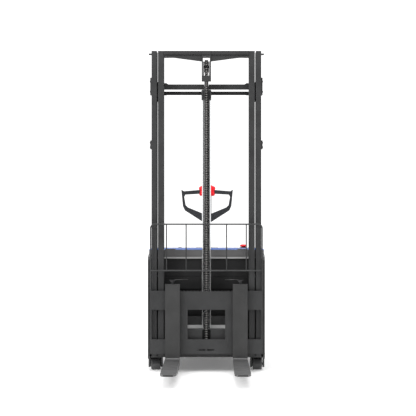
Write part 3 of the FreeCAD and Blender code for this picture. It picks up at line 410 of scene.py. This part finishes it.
def worn_and_lit_top(tree, place, tone, worn_and_lit_top_color):
    """Lightens the faces that look upwards, partly as rubbed wear and partly as painted top light, with a
    painted highlight where they bend.
    """
    geometry = tree.nodes.new("ShaderNodeNewGeometry")
    split = tree.nodes.new("ShaderNodeSeparateXYZ")
    tree.links.new(geometry.outputs["Normal"], split.inputs[0])
    upward = tree.nodes.new("ShaderNodeMapRange")
    upward.inputs["From Min"].default_value = UPWARD_WEAR_AND_LIGHT_RANGE[0]
    upward.inputs["From Max"].default_value = UPWARD_WEAR_AND_LIGHT_RANGE[1]
    tree.links.new(split.outputs["Z"], upward.inputs["Value"])
    low_tone = tuple(c * TOP_WEAR_AND_LIGHT_DARK_SHARE for c in worn_and_lit_top_color)
    rubbed_and_lit = ramp(tree, noise(tree, place, TOP_WEAR_AND_LIGHT_SCALE), *BLOTCH_EDGES, low_tone, worn_and_lit_top_color)
    # Painted highlight on the bend, brightest in the middle of the upward range
    bend_highlight = tree.nodes.new("ShaderNodeMath")
    bend_highlight.operation = "PINGPONG"
    bend_highlight.inputs[1].default_value = 0.5
    tree.links.new(upward.outputs["Result"], bend_highlight.inputs[0])
    bright = tuple(min(1.0, c * BEND_HIGHLIGHT_SHARE) for c in worn_and_lit_top_color)
    rubbed_and_lit = mixed(tree, bend_highlight.outputs[0], rubbed_and_lit, plain_color(tree, bright))
    return mixed(tree, upward.outputs["Result"], tone, rubbed_and_lit)


def make_materials():
    grey = (0.036, 0.0364, 0.0372)
    return {
        "frame_paint": surface("mast_paint", grey, 0.42, wear=0.12, bump=0.1),
        # Fork tops: lighter, partly rubbed wear and partly painted top light, with a painted highlight at
        # the heel bend
        "fork_paint": surface("fork_paint", (0.037, 0.037, 0.037), 0.5, wear=0.3, grain=220.0,
                              worn_and_lit_top_color=(0.078, 0.078, 0.079)),
        "cover_plastic": surface("cover_plastic", (0.036, 0.0365, 0.038), 0.55, grain=900.0, bump=0.3),
        "cowl_paint": surface("cowl_paint", (0.115, 0.114, 0.115), 0.4, bump=0.1),
        "lid_blue": surface("lid_blue", (0.055, 0.125, 0.40), 0.5, bump=0.08, specular=0.12),
        "cylinder_bright": polished_cylinder(),
        "chrome_rod": surface("chrome_rod", (0.85, 0.86, 0.88), 0.08, metallic=1.0,
                              variation=0.02, bump=0.02),
        "chain_steel": surface("chain_steel", (0.026, 0.025, 0.024), 0.38, metallic=0.3,
                               variation=0.25, bump=0.1),
        "bearing_steel": surface("bearing_steel", (0.12, 0.12, 0.12), 0.35, metallic=0.9, variation=0.1),
        "wheel_tread": surface("wheel_tread", (0.055, 0.055, 0.056), 0.32, wear=0.3,
                               wear_color=(0.12, 0.11, 0.1)),
        "wheel_hub": surface("wheel_hub", (0.16, 0.16, 0.16), 0.5, metallic=0.7,
                             variation=0.15, grain=260.0),
        "zinc": surface("zinc_plate", (0.055, 0.055, 0.057), 0.35, metallic=0.4, variation=0.12),
        "battery_case": surface("battery_case", (0.05, 0.05, 0.052), 0.6),
        "cast_weight": surface("cast_weight", (0.05, 0.05, 0.05), 0.75, grain=150.0, bump=0.4),
        "motor_black": surface("motor_black", (0.022, 0.022, 0.023), 0.4, bump=0.1),
        "handle_plastic": surface("handle_plastic", (0.032, 0.033, 0.034), 0.42, grain=1000.0, bump=0.25),
        "button_red": surface("button_red", (0.78, 0.008, 0.018), 0.35, variation=0.08,
                              bump=0.04, specular=0.3),
        "display_black": surface("display_black", (0.012, 0.012, 0.014), 0.18, bump=0.02, coat=0.5),
        "bolt_steel": surface("bolt_steel", (0.1, 0.1, 0.105), 0.4, metallic=0.8, variation=0.15),
        "pin_steel": surface("pin_steel", (0.2, 0.195, 0.19), 0.4, metallic=0.4, variation=0.15),
        # Pale coat of the cowl lip: a painted highlight along the rolled edge
        "lip_highlight_paint": surface("lip_highlight_paint", (0.24, 0.24, 0.24), 0.45, bump=0.1),
        # Pale coat of the base flange: a painted highlight on its sloping face
        "flange_highlight_paint": surface("flange_highlight_paint", (0.46, 0.46, 0.46), 0.45, bump=0.1),
        # A near-black coat that is painted shade, on the outer beams, the slot strips, the outer gussets,
        # the shadow strip under the top beam and the plates behind the wheels
        "shade_paint": surface("shade_paint", (0.018, 0.018, 0.0185), 0.5, wear=0.1,
                               bump=0.1, specular=0.3),
        # Near-black sheet on the front bulkhead: painted shade
        "liner_shade": surface("liner_shade", (0.021, 0.021, 0.0215), 0.7, grain=700.0,
                                bump=0.3, specular=0.2),
        # Near-black of the cylinder foot: partly its own dark coat, partly painted shade
        "foot_shade_black": surface("foot_shade_black", (0.006, 0.006, 0.0062), 0.7, bump=0.1, specular=0.15),
    }


def polished_cylinder():
    """Polished steel with a soft pale sheen towards its edges."""
    material = surface("cylinder_steel", (0.72, 0.73, 0.74), 0.09, metallic=1.0, variation=0.04,
                       grain=60.0, bump=0.04, stretch=(1.0, 1.0, 12.0))
    shader = material.node_tree.nodes["Principled BSDF"]
    shader.inputs["Sheen Weight"].default_value = 1.0
    shader.inputs["Sheen Roughness"].default_value = SHEEN_ROUGHNESS
    return material


# Nodes painted darker than the rest of their slot, as painted shade
NODE_PAINT = {"outer_beams": "shade_paint"}


def dress_nodes(materials):
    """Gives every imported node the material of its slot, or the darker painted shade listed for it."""
    for part in frame["record"]["subparts"]:
        node = frame["nodes"][part["node"]]
        material = materials[NODE_PAINT.get(part["node"], part["material_slot"])]
        if not node.material_slots:
            node.data.materials.append(material)
        for place in node.material_slots:
            place.material = material


BEVELS = {
    "chassis_frame": 0.0025,
    "carriage_frame": 0.002,
    "fork_left": 0.002,
    "fork_right": 0.002,
    "outer_upright_left": 0.001,
    "outer_upright_right": 0.001,
    "inner_upright_left": 0.001,
    "inner_upright_right": 0.001,
    "outer_beams": 0.0015,
    "inner_rear_beams": 0.0015,
    "inner_top_beam": 0.001,
    "mast_side_pads": 0.0015,
    "mast_base": 0.002,
    "battery_lid": 0.0012,
    "console": 0.0012,
    "tiller_head": 0.0085,
    "tiller_buttons": 0.004,
    "turret_frame": 0.0015,
}


def soften_edges():
    """Rounds the edges of the plates and mouldings a little."""
    for name, width in BEVELS.items():
        bevel = frame["nodes"][name].modifiers.new("edges", "BEVEL")
        bevel.width = width
        bevel.segments = BEVEL_SEGMENTS
        bevel.limit_method = "ANGLE"
        bevel.angle_limit = BEVEL_ANGLE
        bevel.harden_normals = False


# Chain

def plate_outline(pitch):
    """One link plate in the y-z plane, round at both pins, lying along z about its middle."""
    points = []
    for end in (1, -1):
        for step in range(ROUND_STEPS + 1):
            angle = math.pi * step / ROUND_STEPS
            y = PLATE_HALF_HEIGHT * math.cos(angle) * end
            z = (pitch / 2.0 + PLATE_HALF_HEIGHT * PLATE_END_SHARE * math.sin(angle)) * end
            points.append((y, z))
    return points


def add_link(plates, pins, place, pitch, outer):
    """One link: two plates, and the pin with its roller at the lower end."""
    outline = plate_outline(pitch)
    plate_x = OUTER_PLATE_X if outer else INNER_PLATE_X
    for x in (-plate_x, plate_x):
        plates.prism_x(outline, x - PLATE_THICKNESS / 2.0, x + PLATE_THICKNESS / 2.0, place)
    pin_place = place @ along_axis((0, 0, -pitch / 2.0), (1, 0, 0))
    profile = [
        (PIN_RADIUS, -PIN_HALF_LENGTH),
        (PIN_RADIUS, -ROLLER_HALF_LENGTH),
        (ROLLER_RADIUS, -ROLLER_HALF_LENGTH),
        (ROLLER_RADIUS, ROLLER_HALF_LENGTH),
        (PIN_RADIUS, ROLLER_HALF_LENGTH),
        (PIN_RADIUS, PIN_HALF_LENGTH),
    ]
    pins.lathe(profile, pin_place, PIN_STEPS)


def straight_run(y, z_low, z_high):
    """A run of whole links between two heights."""
    plates = Shape()
    pins = Shape()
    count = round((z_high - z_low) / CHAIN_PITCH)
    pitch = (z_high - z_low) / count
    for step in range(count):
        place = Matrix.Translation((0.0, y, z_high - (step + 0.5) * pitch))
        add_link(plates, pins, place, pitch, step % 2 == 0)
    return plates, pins


def half_turn(centre_y, centre_z, radius):
    """The links that lie on the top half of the pulley."""
    plates = Shape()
    pins = Shape()
    count = round(math.pi * radius / CHAIN_PITCH)
    pitch = math.pi * radius / count
    for step in range(count):
        angle = math.pi * (step + 0.5) / count
        place = Matrix.Translation((0.0, centre_y, centre_z)) @ Matrix.Rotation(angle, 4, "X")
        place = place @ Matrix.Translation((0.0, radius, 0.0))
        add_link(plates, pins, place, pitch * TURN_PITCH_SHARE, step % 2 == 0)
    return plates, pins


def chain_run(name, shapes, materials, body):
    """The two pieces of one run of chain, its plates first."""
    pieces = []
    for part, shape, material in zip(("plates", "pins"), shapes, ("chain_steel", "pin_steel")):
        run = shape.piece(name + "_" + part, materials[material], body)
        pieces.append(run)
    return pieces


def chain_pieces(materials):
    """The roller chain: front run to the carriage, rear run to the mast base, and the turn between them."""
    front_low, front_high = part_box("chain_front")
    rear_low, rear_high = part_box("chain_rear")
    pulley_low, pulley_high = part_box("chain_pulley")
    front_y = (front_low.y + front_high.y) / 2.0
    rear_y = (rear_low.y + rear_high.y) / 2.0
    centre_y = (pulley_low.y + pulley_high.y) / 2.0
    centre_z = (pulley_low.z + pulley_high.z) / 2.0

    shapes = straight_run(front_y, front_low.z, front_high.z)
    pieces = chain_run("chain_front", shapes, materials, "inner_mast")
    for run in pieces:
        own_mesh(run)
    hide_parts("chain_front")

    shapes = straight_run(rear_y, rear_low.z, rear_high.z)
    pieces = chain_run("chain_rear", shapes, materials, None)
    for run in pieces:
        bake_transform(run)
    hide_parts("chain_rear")

    shapes = half_turn(centre_y, centre_z, (rear_y - front_y) / 2.0)
    pieces = chain_run("chain_turn", shapes, materials, "inner_mast")
    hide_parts("chain_over_pulley")


# Bolts

def add_bolt(shape, point, axis):
    """A hexagon head on a washer."""
    place = along_axis(point, axis)
    washer = BOLT_RADIUS * WASHER_SHARE
    shape.lathe([(washer, 0.0), (washer, WASHER_THICKNESS)], place, WASHER_STEPS)
    head = [(BOLT_RADIUS, WASHER_THICKNESS)]
    head += [(BOLT_RADIUS * width, BOLT_RADIUS * height) for width, height in BOLT_HEAD]
    shape.lathe(head, place, BOLT_STEPS)


def mast_bolts(materials):
    """Bolts on the pads of the outer uprights."""
    low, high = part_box("mast_side_pads")
    shape = Shape()
    middle_y = (low.y + high.y) / 2.0
    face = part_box("outer_upright_right")[1].x + PAD_RISE
    for side in (-1.0, 1.0):
        for z in PAD_BOLT_Z:
            add_bolt(shape, (side * face, middle_y, z), (side, 0, 0))
    shape.piece("mast_bolts", materials["bolt_steel"], "root")


# Cylinder and mast

def tube(shape, points, radius, steps=TUBE_STEPS):
    """A round tube along points, with its rings square to the run."""
    rings = []
    for index, point in enumerate(points):
        before = points[max(index - 1, 0)]
        after = points[min(index + 1, len(points) - 1)]
        rings.append(along_axis(point, (Vector(after) - Vector(before)).normalized()))
    vertices = []
    for ring in rings:
        for step in range(steps):
            angle = 2.0 * math.pi * step / steps
            vertices.append(ring @ Vector((radius * math.cos(angle), radius * math.sin(angle), 0.0)))
    faces = [list(range(steps))[::-1], list(range(len(vertices) - steps, len(vertices)))]
    for ring in range(len(points) - 1):
        for step in range(steps):
            a = ring * steps + step
            b = ring * steps + (step + 1) % steps
            faces.append([a, b, b + steps, a + steps])
    shape.add(vertices, faces)


def lift_pipe(materials):
    """The oil pipe that climbs close behind the barrel and bends into it at both ends."""
    low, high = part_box("lift_pipe")
    barrel_low, barrel_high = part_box("lift_barrel")
    centre = Vector(((barrel_low.x + barrel_high.x) / 2.0, (barrel_low.y + barrel_high.y) / 2.0))
    barrel_radius = (barrel_high.x - barrel_low.x) / 2.0
    outward = Vector(PIPE_SIDE).normalized()
    start = centre + outward * (barrel_radius - PIPE_RADIUS)
    stand = centre + outward * (barrel_radius + 2.0 * PIPE_RADIUS)
    points = []
    for end, sign in ((low.z + PIPE_RADIUS, 1.0), (high.z - PIPE_RADIUS, -1.0)):
        run = [(start.x, start.y, end)]
        for step in range(PIPE_BEND_STEPS + 1):
            angle = math.radians(90.0) * step / PIPE_BEND_STEPS
            reach = start.lerp(stand, math.sin(angle))
            run.append((reach.x, reach.y, end + sign * PIPE_BEND * (1.0 - math.cos(angle))))
        points += run if sign > 0 else run[::-1]
    shape = Shape()
    tube(shape, points, PIPE_RADIUS)
    pipe = shape.piece("oil_pipe", materials["frame_paint"], "root", smooth=True)
    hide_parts("lift_pipe")


def guide_strips(materials):
    """Long strips on the outer uprights that narrow the slot beside the inner ones, and filling pads, both
    in a near-black that is painted shade inside the slot.
    """
    outer_low, outer_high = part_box("outer_upright_right")
    inner_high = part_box("inner_upright_right")[1]
    rows = (
        (STRIP_GAP, STRIP_THICKNESS, outer_low.z, outer_high.z - STRIP_TOP_GAP),
        (PAD_GAP, PAD_THICKNESS, *PAD_Z),
    )
    shape = Shape()
    for side in (-1.0, 1.0):
        for gap, thickness, z_low, z_high in rows:
            edges = sorted((side * (inner_high.x + gap), side * outer_low.x))
            y_low = outer_high.y - thickness
            outline = [(y_low, z_low), (outer_high.y, z_low), (outer_high.y, z_high), (y_low, z_high)]
            shape.prism_x(outline, *edges)
    # Near-black strips and pads: painted shade inside the slot
    strips = shape.piece("guide_strips", materials["shade_paint"], "root")


def beam_shadow_strip(materials):
    """A dark strip of painted shadow under the top flange of the inner mast's beam."""
    low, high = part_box("inner_top_beam")
    inner_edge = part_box("inner_upright_right")[0].x
    shape = Shape()
    z_high = high.z - BEAM_SHADOW_DROP
    outline = [
        (low.y - BEAM_SHADOW_REACH, z_high - BEAM_SHADOW_HEIGHT),
        (low.y, z_high - BEAM_SHADOW_HEIGHT),
        (low.y, z_high),
        (low.y - BEAM_SHADOW_REACH, z_high - BEAM_SHADOW_REACH),
    ]
    shape.prism_x(outline, -inner_edge, inner_edge)
    shadow_strip = shape.piece("beam_shadow_strip", materials["shade_paint"], "inner_mast")


def beam_gussets(materials):
    """Small flares that widen the upper cross beams where they meet the uprights."""
    inner_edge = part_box("inner_upright_right")[0].x
    turned = Matrix.Rotation(math.radians(90.0), 4, "Z")
    for name, node, body, paint, sign in (
        ("inner_gussets", "inner_rear_beams", "inner_mast", "frame_paint", 1.0),
        # The outer gussets wear the painted shade of the outer beams
        ("outer_gussets", "outer_beams", "root", "shade_paint", -1.0),
    ):
        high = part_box(node)[1]
        back = high.y - GUSSET_SETBACK
        edge_z = high.z - GUSSET_SINK if sign > 0 else high.z - OUTER_BEAM_HEIGHT + GUSSET_SINK
        far_z = edge_z + sign * GUSSET_RISE
        shape = Shape()
        for side in (-1.0, 1.0):
            outline = [
                (-side * inner_edge, edge_z),
                (-side * inner_edge, far_z),
                (-side * (inner_edge - GUSSET_REACH * GUSSET_FLAT_SHARE), far_z),
                (-side * (inner_edge - GUSSET_REACH), edge_z),
            ]
            shape.prism_x(outline, back - GUSSET_THICKNESS, back, turned)
        gussets = shape.piece(name, materials[paint], body)


def wheel_shade_plates(materials):
    """Plates that hang from the floor behind the load wheels, near-black as painted shade under the
    machine.
    """
    for side in ("left", "right"):
        low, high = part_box("load_wheel_" + side)
        front = high.y + SHADE_PLATE_GAP
        back = front + SHADE_PLATE_THICKNESS
        bottom = low.z + SHADE_PLATE_GAP
        top = high.z + SHADE_PLATE_RISE
        shape = Shape()
        outline = [(front, bottom), (back, bottom), (back, top), (front, top)]
        shape.prism_x(outline, low.x - SHADE_PLATE_REACH[0], high.x + SHADE_PLATE_REACH[1])
        shade_plate = shape.piece("wheel_shade_plate_" + side, materials["shade_paint"], "root")


def cylinder_foot(materials):
    """The dark boss at the foot of the cylinder, on the front of the mast base, in a near-black that is
    partly its own dark coat and partly painted shade at the foot.
    """
    low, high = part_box("mast_base")
    shape = Shape()
    points = [(-FOOT_HALF_WIDTH, low.z), (FOOT_HALF_WIDTH, low.z)]
    for step in range(FOOT_STEPS + 1):
        angle = math.pi * step / FOOT_STEPS
        z = high.z - FOOT_CROWN + FOOT_CROWN * math.sin(angle)
        points.append((FOOT_HALF_WIDTH * math.cos(angle), z))
    turned = Matrix.Rotation(math.radians(-90.0), 4, "Z")
    place = Matrix.Translation((0.0, low.y, 0.0)) @ turned
    shape.prism_x(points, 0.0, FOOT_THICKNESS, place)
    foot = shape.piece("cylinder_foot", materials["foot_shade_black"], "root")


def base_flange(materials):
    """The folded flange along the top of the mast base, which slopes up behind the cylinder, in a pale coat
    that is a painted highlight on its lit slope.
    """
    low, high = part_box("mast_base")
    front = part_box("lift_barrel")[1].y + FLANGE_GAP
    shape = Shape()
    outline = [
        (front, high.z),
        (front + FLANGE_PLATE, high.z),
        (front + FLANGE_DEPTH, high.z + FLANGE_RISE - FLANGE_PLATE),
        (front + FLANGE_DEPTH, high.z + FLANGE_RISE),
        (front + FLANGE_DEPTH - FLANGE_PLATE, high.z + FLANGE_RISE),
    ]
    shape.prism_x(outline, low.x, high.x)
    flange = shape.piece("base_flange", materials["flange_highlight_paint"], "root")


# Hood

def cowl_lip(materials):
    """The rolled lower edge of the front cowl, in a pale coat that is a painted highlight along the edge.
    """
    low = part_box("front_cowl")[0]
    body_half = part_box("battery_lid")[1].x
    shape = Shape()
    outline = [(low.y, low.z)]
    for step in range(QUARTER_STEPS + 1):
        angle = math.radians(90.0) * step / QUARTER_STEPS
        outline.append((low.y - LIP_REACH * math.cos(angle), low.z + LIP_RISE * math.sin(angle)))
    shape.prism_x(outline, -body_half, body_half)
    lip = shape.piece("cowl_lip", materials["lip_highlight_paint"], "root")


def front_shade_liner(materials):
    """A near-black sheet on the front bulkhead that is painted shade of the deep space behind the mast,
    with a raised rib across it.
    """
    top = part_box("front_cowl")[0].z
    base_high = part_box("mast_base")[1]
    face = base_high.y - LINER_THICKNESS
    rib = base_high.y - RIB_DEPTH
    half = base_high.x + LINER_OVERHANG
    shape = Shape()
    outline = [
        (base_high.y, base_high.z),
        (base_high.y, top),
        (face, top),
        (face, RIB_Z[3]),
        (rib, RIB_Z[2]),
        (rib, RIB_Z[1]),
        (face, RIB_Z[0]),
        (face, base_high.z),
    ]
    shape.prism_x(outline, -half, half)
    liner = shape.piece("front_shade_liner", materials["liner_shade"], "root")


def stop_button(materials):
    """A low mushroom cap on a dark collar."""
    low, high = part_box("emergency_stop")
    centre = (low + high) / 2.0
    radius = (high.x - low.x) / 2.0
    place = Matrix.Translation((centre.x, centre.y, low.z))
    collar = Shape()
    collar.lathe([(radius * share, z) for share, z in STOP_COLLAR], place, COLLAR_STEPS)
    ring = collar.piece("stop_collar", materials["handle_plastic"], "root")
    cap = Shape()
    profile = [(radius * share, z) for share, z in STOP_STEM]
    for step in range(QUARTER_STEPS + 1):
        angle = math.radians(90.0) * step / QUARTER_STEPS
        share = STOP_CROWN + (1.0 - STOP_CROWN) * math.cos(angle)
        profile.append((radius * share, STOP_RIM_Z + STOP_RISE * math.sin(angle)))
    cap.lathe(profile, place, CAP_STEPS)
    button = cap.piece("stop_cap", materials["button_red"], "root", smooth=True)
    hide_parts("emergency_stop")


def raised_plate(low, high, inset, slope, rise, half):
    """A low plate on the console, with sloped front and rear edges, set in by inset."""
    plate = Shape()
    outline = [
        (low.y + inset, low.z),
        (high.y - inset, low.z),
        (high.y - inset - slope, low.z + rise),
        (low.y + inset + slope, low.z + rise),
    ]
    plate.prism_x(outline, -half, half)
    return plate


def console_fittings(materials):
    """A flush display in a thin bezel and a low key switch with its key turned flat."""
    low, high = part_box("key_and_display")
    bezel = raised_plate(low, high, 0.0, BEZEL_SLOPE, BEZEL_RISE, high.x)
    bezel_piece = bezel.piece("display_bezel", materials["handle_plastic"], "root")
    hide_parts("key_and_display")
    glass = raised_plate(low, high, GLASS_INSET, GLASS_SLOPE, BEZEL_RISE + GLASS_RISE, high.x - GLASS_END)
    glass.piece("display_glass", materials["display_black"], "root")
    switch = Shape()
    place = Matrix.Translation((low.x + SWITCH_INSET, (low.y + high.y) / 2.0, low.z))
    switch.lathe(SWITCH_PROFILE, place)
    switch.prism_x(KEY_OUTLINE, -KEY_HALF_THICKNESS, KEY_HALF_THICKNESS, place)
    switch.piece("key_switch", materials["bolt_steel"], "root")


# Tiller

def smooth_outline(points, rounds):
    """Rounds an outline of (x, z) points by cutting its corners again and again."""
    far = 1.0 - CORNER_CUT
    for _ in range(rounds):
        cut = []
        for first, second in zip(points, points[1:] + points[:1]):
            cut.append((first[0] * far + second[0] * CORNER_CUT, first[1] * far + second[1] * CORNER_CUT))
            cut.append((first[0] * CORNER_CUT + second[0] * far, first[1] * CORNER_CUT + second[1] * far))
        points = cut
    return points


def switch_block(materials):
    """The bulging red thumb block that wraps the middle of the head, wider at its top."""
    low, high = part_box("tiller_buttons")
    half = high.x
    height = high.z - low.z
    middle_y = (low.y + high.y) / 2.0
    middle_z = low.z + height * BLOCK_MIDDLE
    right = [(x * half, low.z + height * z) for x, z in BLOCK_SIDE]
    outline = smooth_outline(right + [(-x, z) for x, z in reversed(right)], CORNER_ROUNDS)
    outline = [(x, min(max(z, low.z), high.z)) for x, z in outline]
    vertices = []
    faces = []
    count = len(outline)
    for index in range(BLOCK_SLICES):
        share = 2.0 * index / (BLOCK_SLICES - 1) - 1.0
        bulge = (1.0 - abs(share) ** BLOCK_FULLNESS) ** 0.5
        size = BLOCK_END_SHARE + (1.0 - BLOCK_END_SHARE) * bulge
        y = middle_y + (high.y - low.y) / 2.0 * share
        vertices += [(x * size, y, middle_z + (z - middle_z) * size) for x, z in outline]
    for index in range(BLOCK_SLICES - 1):
        for step in range(count):
            a = index * count + step
            b = index * count + (step + 1) % count
            faces.append([a, b, b + count, a + count])
    faces.append(list(range(count))[::-1])
    faces.append(list(range((BLOCK_SLICES - 1) * count, BLOCK_SLICES * count)))
    shape = Shape()
    shape.add(vertices, faces)
    block = shape.piece("switch_block", materials["button_red"], "tiller", smooth=True)
    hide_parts("tiller_buttons")


# Forks

def latch_levers(materials):
    """The thin release lever of each fork latch, which points inward."""
    low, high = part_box("fork_latches")
    middle_y = (low.y + high.y) / 2.0
    foot_z = high.z - LEVER_DROP
    top_z = foot_z + LEVER_RISE
    shape = Shape()
    for side in (-1.0, 1.0):
        start = side * (high.x - LEVER_INSET)
        points = [
            (start, middle_y, foot_z),
            (start - side * LEVER_BEND, middle_y, top_z),
            (start - side * LEVER_REACH, middle_y, top_z),
        ]
        tube(shape, points, LEVER_RADIUS, LEVER_STEPS)
    levers = shape.piece("latch_levers", materials["bearing_steel"], "carriage", smooth=True)


def main():
    materials = make_materials()
    dress_nodes(materials)
    soften_edges()
    chain_pieces(materials)
    mast_bolts(materials)
    lift_pipe(materials)
    guide_strips(materials)
    beam_shadow_strip(materials)
    beam_gussets(materials)
    wheel_shade_plates(materials)
    cylinder_foot(materials)
    base_flange(materials)
    cowl_lip(materials)
    front_shade_liner(materials)
    stop_button(materials)
    console_fittings(materials)
    switch_block(materials)
    latch_levers(materials)


# Studio

def studio_floor():
    """A plain pale floor."""
    floor = Shape()
    half = FLOOR_HALF_SIZE
    floor.add([(-half, -half, 0), (half, -half, 0), (half, half, 0), (-half, half, 0)], [[0, 1, 2, 3]])
    material, tree, shader, place = new_material("floor")
    tone = ramp(tree, noise(tree, place, FLOOR_SCALE), *NOISE_RANGE, *FLOOR_TONES)
    tree.links.new(tone, shader.inputs["Base Color"])
    shader.inputs["Roughness"].default_value = FLOOR_ROUGHNESS
    shader.inputs["Emission Color"].default_value = (1.0, 1.0, 1.0, 1.0)
    shader.inputs["Emission Strength"].default_value = FLOOR_GLOW
    shader.inputs["Specular IOR Level"].default_value = 0.0
    floor.piece("floor", material, None)


def dark_card():
    """A dark curved card in front of the machine, lighter at its upper left, which only reflections see."""
    card = Shape()
    vertices = []
    for step in range(CARD_STEPS + 1):
        angle = -math.pi / 2.0 + CARD_HALF_ANGLE * (2.0 * step / CARD_STEPS - 1.0)
        for radius, height in ((CARD_FOOT_RADIUS, 0.0), (CARD_TOP_RADIUS, CARD_HEIGHT)):
            vertices.append((radius * math.cos(angle), radius * math.sin(angle), height))
    faces = [[2 * i, 2 * i + 2, 2 * i + 3, 2 * i + 1] for i in range(CARD_STEPS)]
    card.add(vertices, faces)
    material, tree, shader, place = new_material("dark_card")
    split = tree.nodes.new("ShaderNodeSeparateXYZ")
    tree.links.new(place, split.inputs[0])
    across = tree.nodes.new("ShaderNodeMapRange")
    across.inputs["From Min"].default_value = -CARD_TOP_RADIUS
    across.inputs["From Max"].default_value = CARD_TOP_RADIUS
    tree.links.new(split.outputs["X"], across.inputs["Value"])
    upward = tree.nodes.new("ShaderNodeMapRange")
    upward.inputs["From Min"].default_value = CARD_DARK_BELOW
    upward.inputs["From Max"].default_value = CARD_LIGHT_ABOVE
    tree.links.new(split.outputs["Z"], upward.inputs["Value"])
    lit = ramp(tree, across.outputs["Result"], *CARD_EDGES, CARD_LIGHT, CARD_DARK)
    tone = mixed(tree, upward.outputs["Result"], plain_color(tree, CARD_DARK), lit)
    tree.links.new(tone, shader.inputs["Base Color"])
    shader.inputs["Specular IOR Level"].default_value = 0.0
    piece = card.piece("dark_card", material, None)
    piece.visible_camera = False
    piece.visible_diffuse = False
    piece.visible_shadow = False
    piece.visible_transmission = False


def area_light(name, place, target, size, power):
    data = bpy.data.lights.new(name, "AREA")
    data.shape = "RECTANGLE"
    data.size, data.size_y = size
    data.energy = power
    light = bpy.data.objects.new(name, data)
    light.location = place
    light.rotation_euler = (Vector(target) - Vector(place)).to_track_quat("-Z", "Y").to_euler()
    bpy.context.scene.collection.objects.link(light)


def studio_light():
    """An even pale world with a soft key light and a soft top light."""
    world = bpy.data.worlds.new("studio")
    world.use_nodes = True
    background = world.node_tree.nodes["Background"]
    background.inputs["Color"].default_value = (1.0, 1.0, 1.0, 1.0)
    background.inputs["Strength"].default_value = WORLD_STRENGTH
    bpy.context.scene.world = world
    area_light("key_left", *KEY_LIGHT)
    area_light("top", *TOP_LIGHT)
    bpy.context.scene.view_settings.view_transform = "Standard"


def studio_camera():
    """A long lens far in front, level and a little to the right, as in the photo."""
    data = bpy.data.cameras.new("camera")
    data.lens = CAMERA_LENS
    data.shift_x, data.shift_y = CAMERA_SHIFT
    data.clip_end = CAMERA_FAR
    camera = bpy.data.objects.new("camera", data)
    camera.location = CAMERA_PLACE
    camera.rotation_euler = (math.radians(90.0), 0.0, 0.0)
    bpy.context.scene.collection.objects.link(camera)
    bpy.context.scene.camera = camera


main()
studio_floor()
dark_card()
studio_light()
studio_camera()
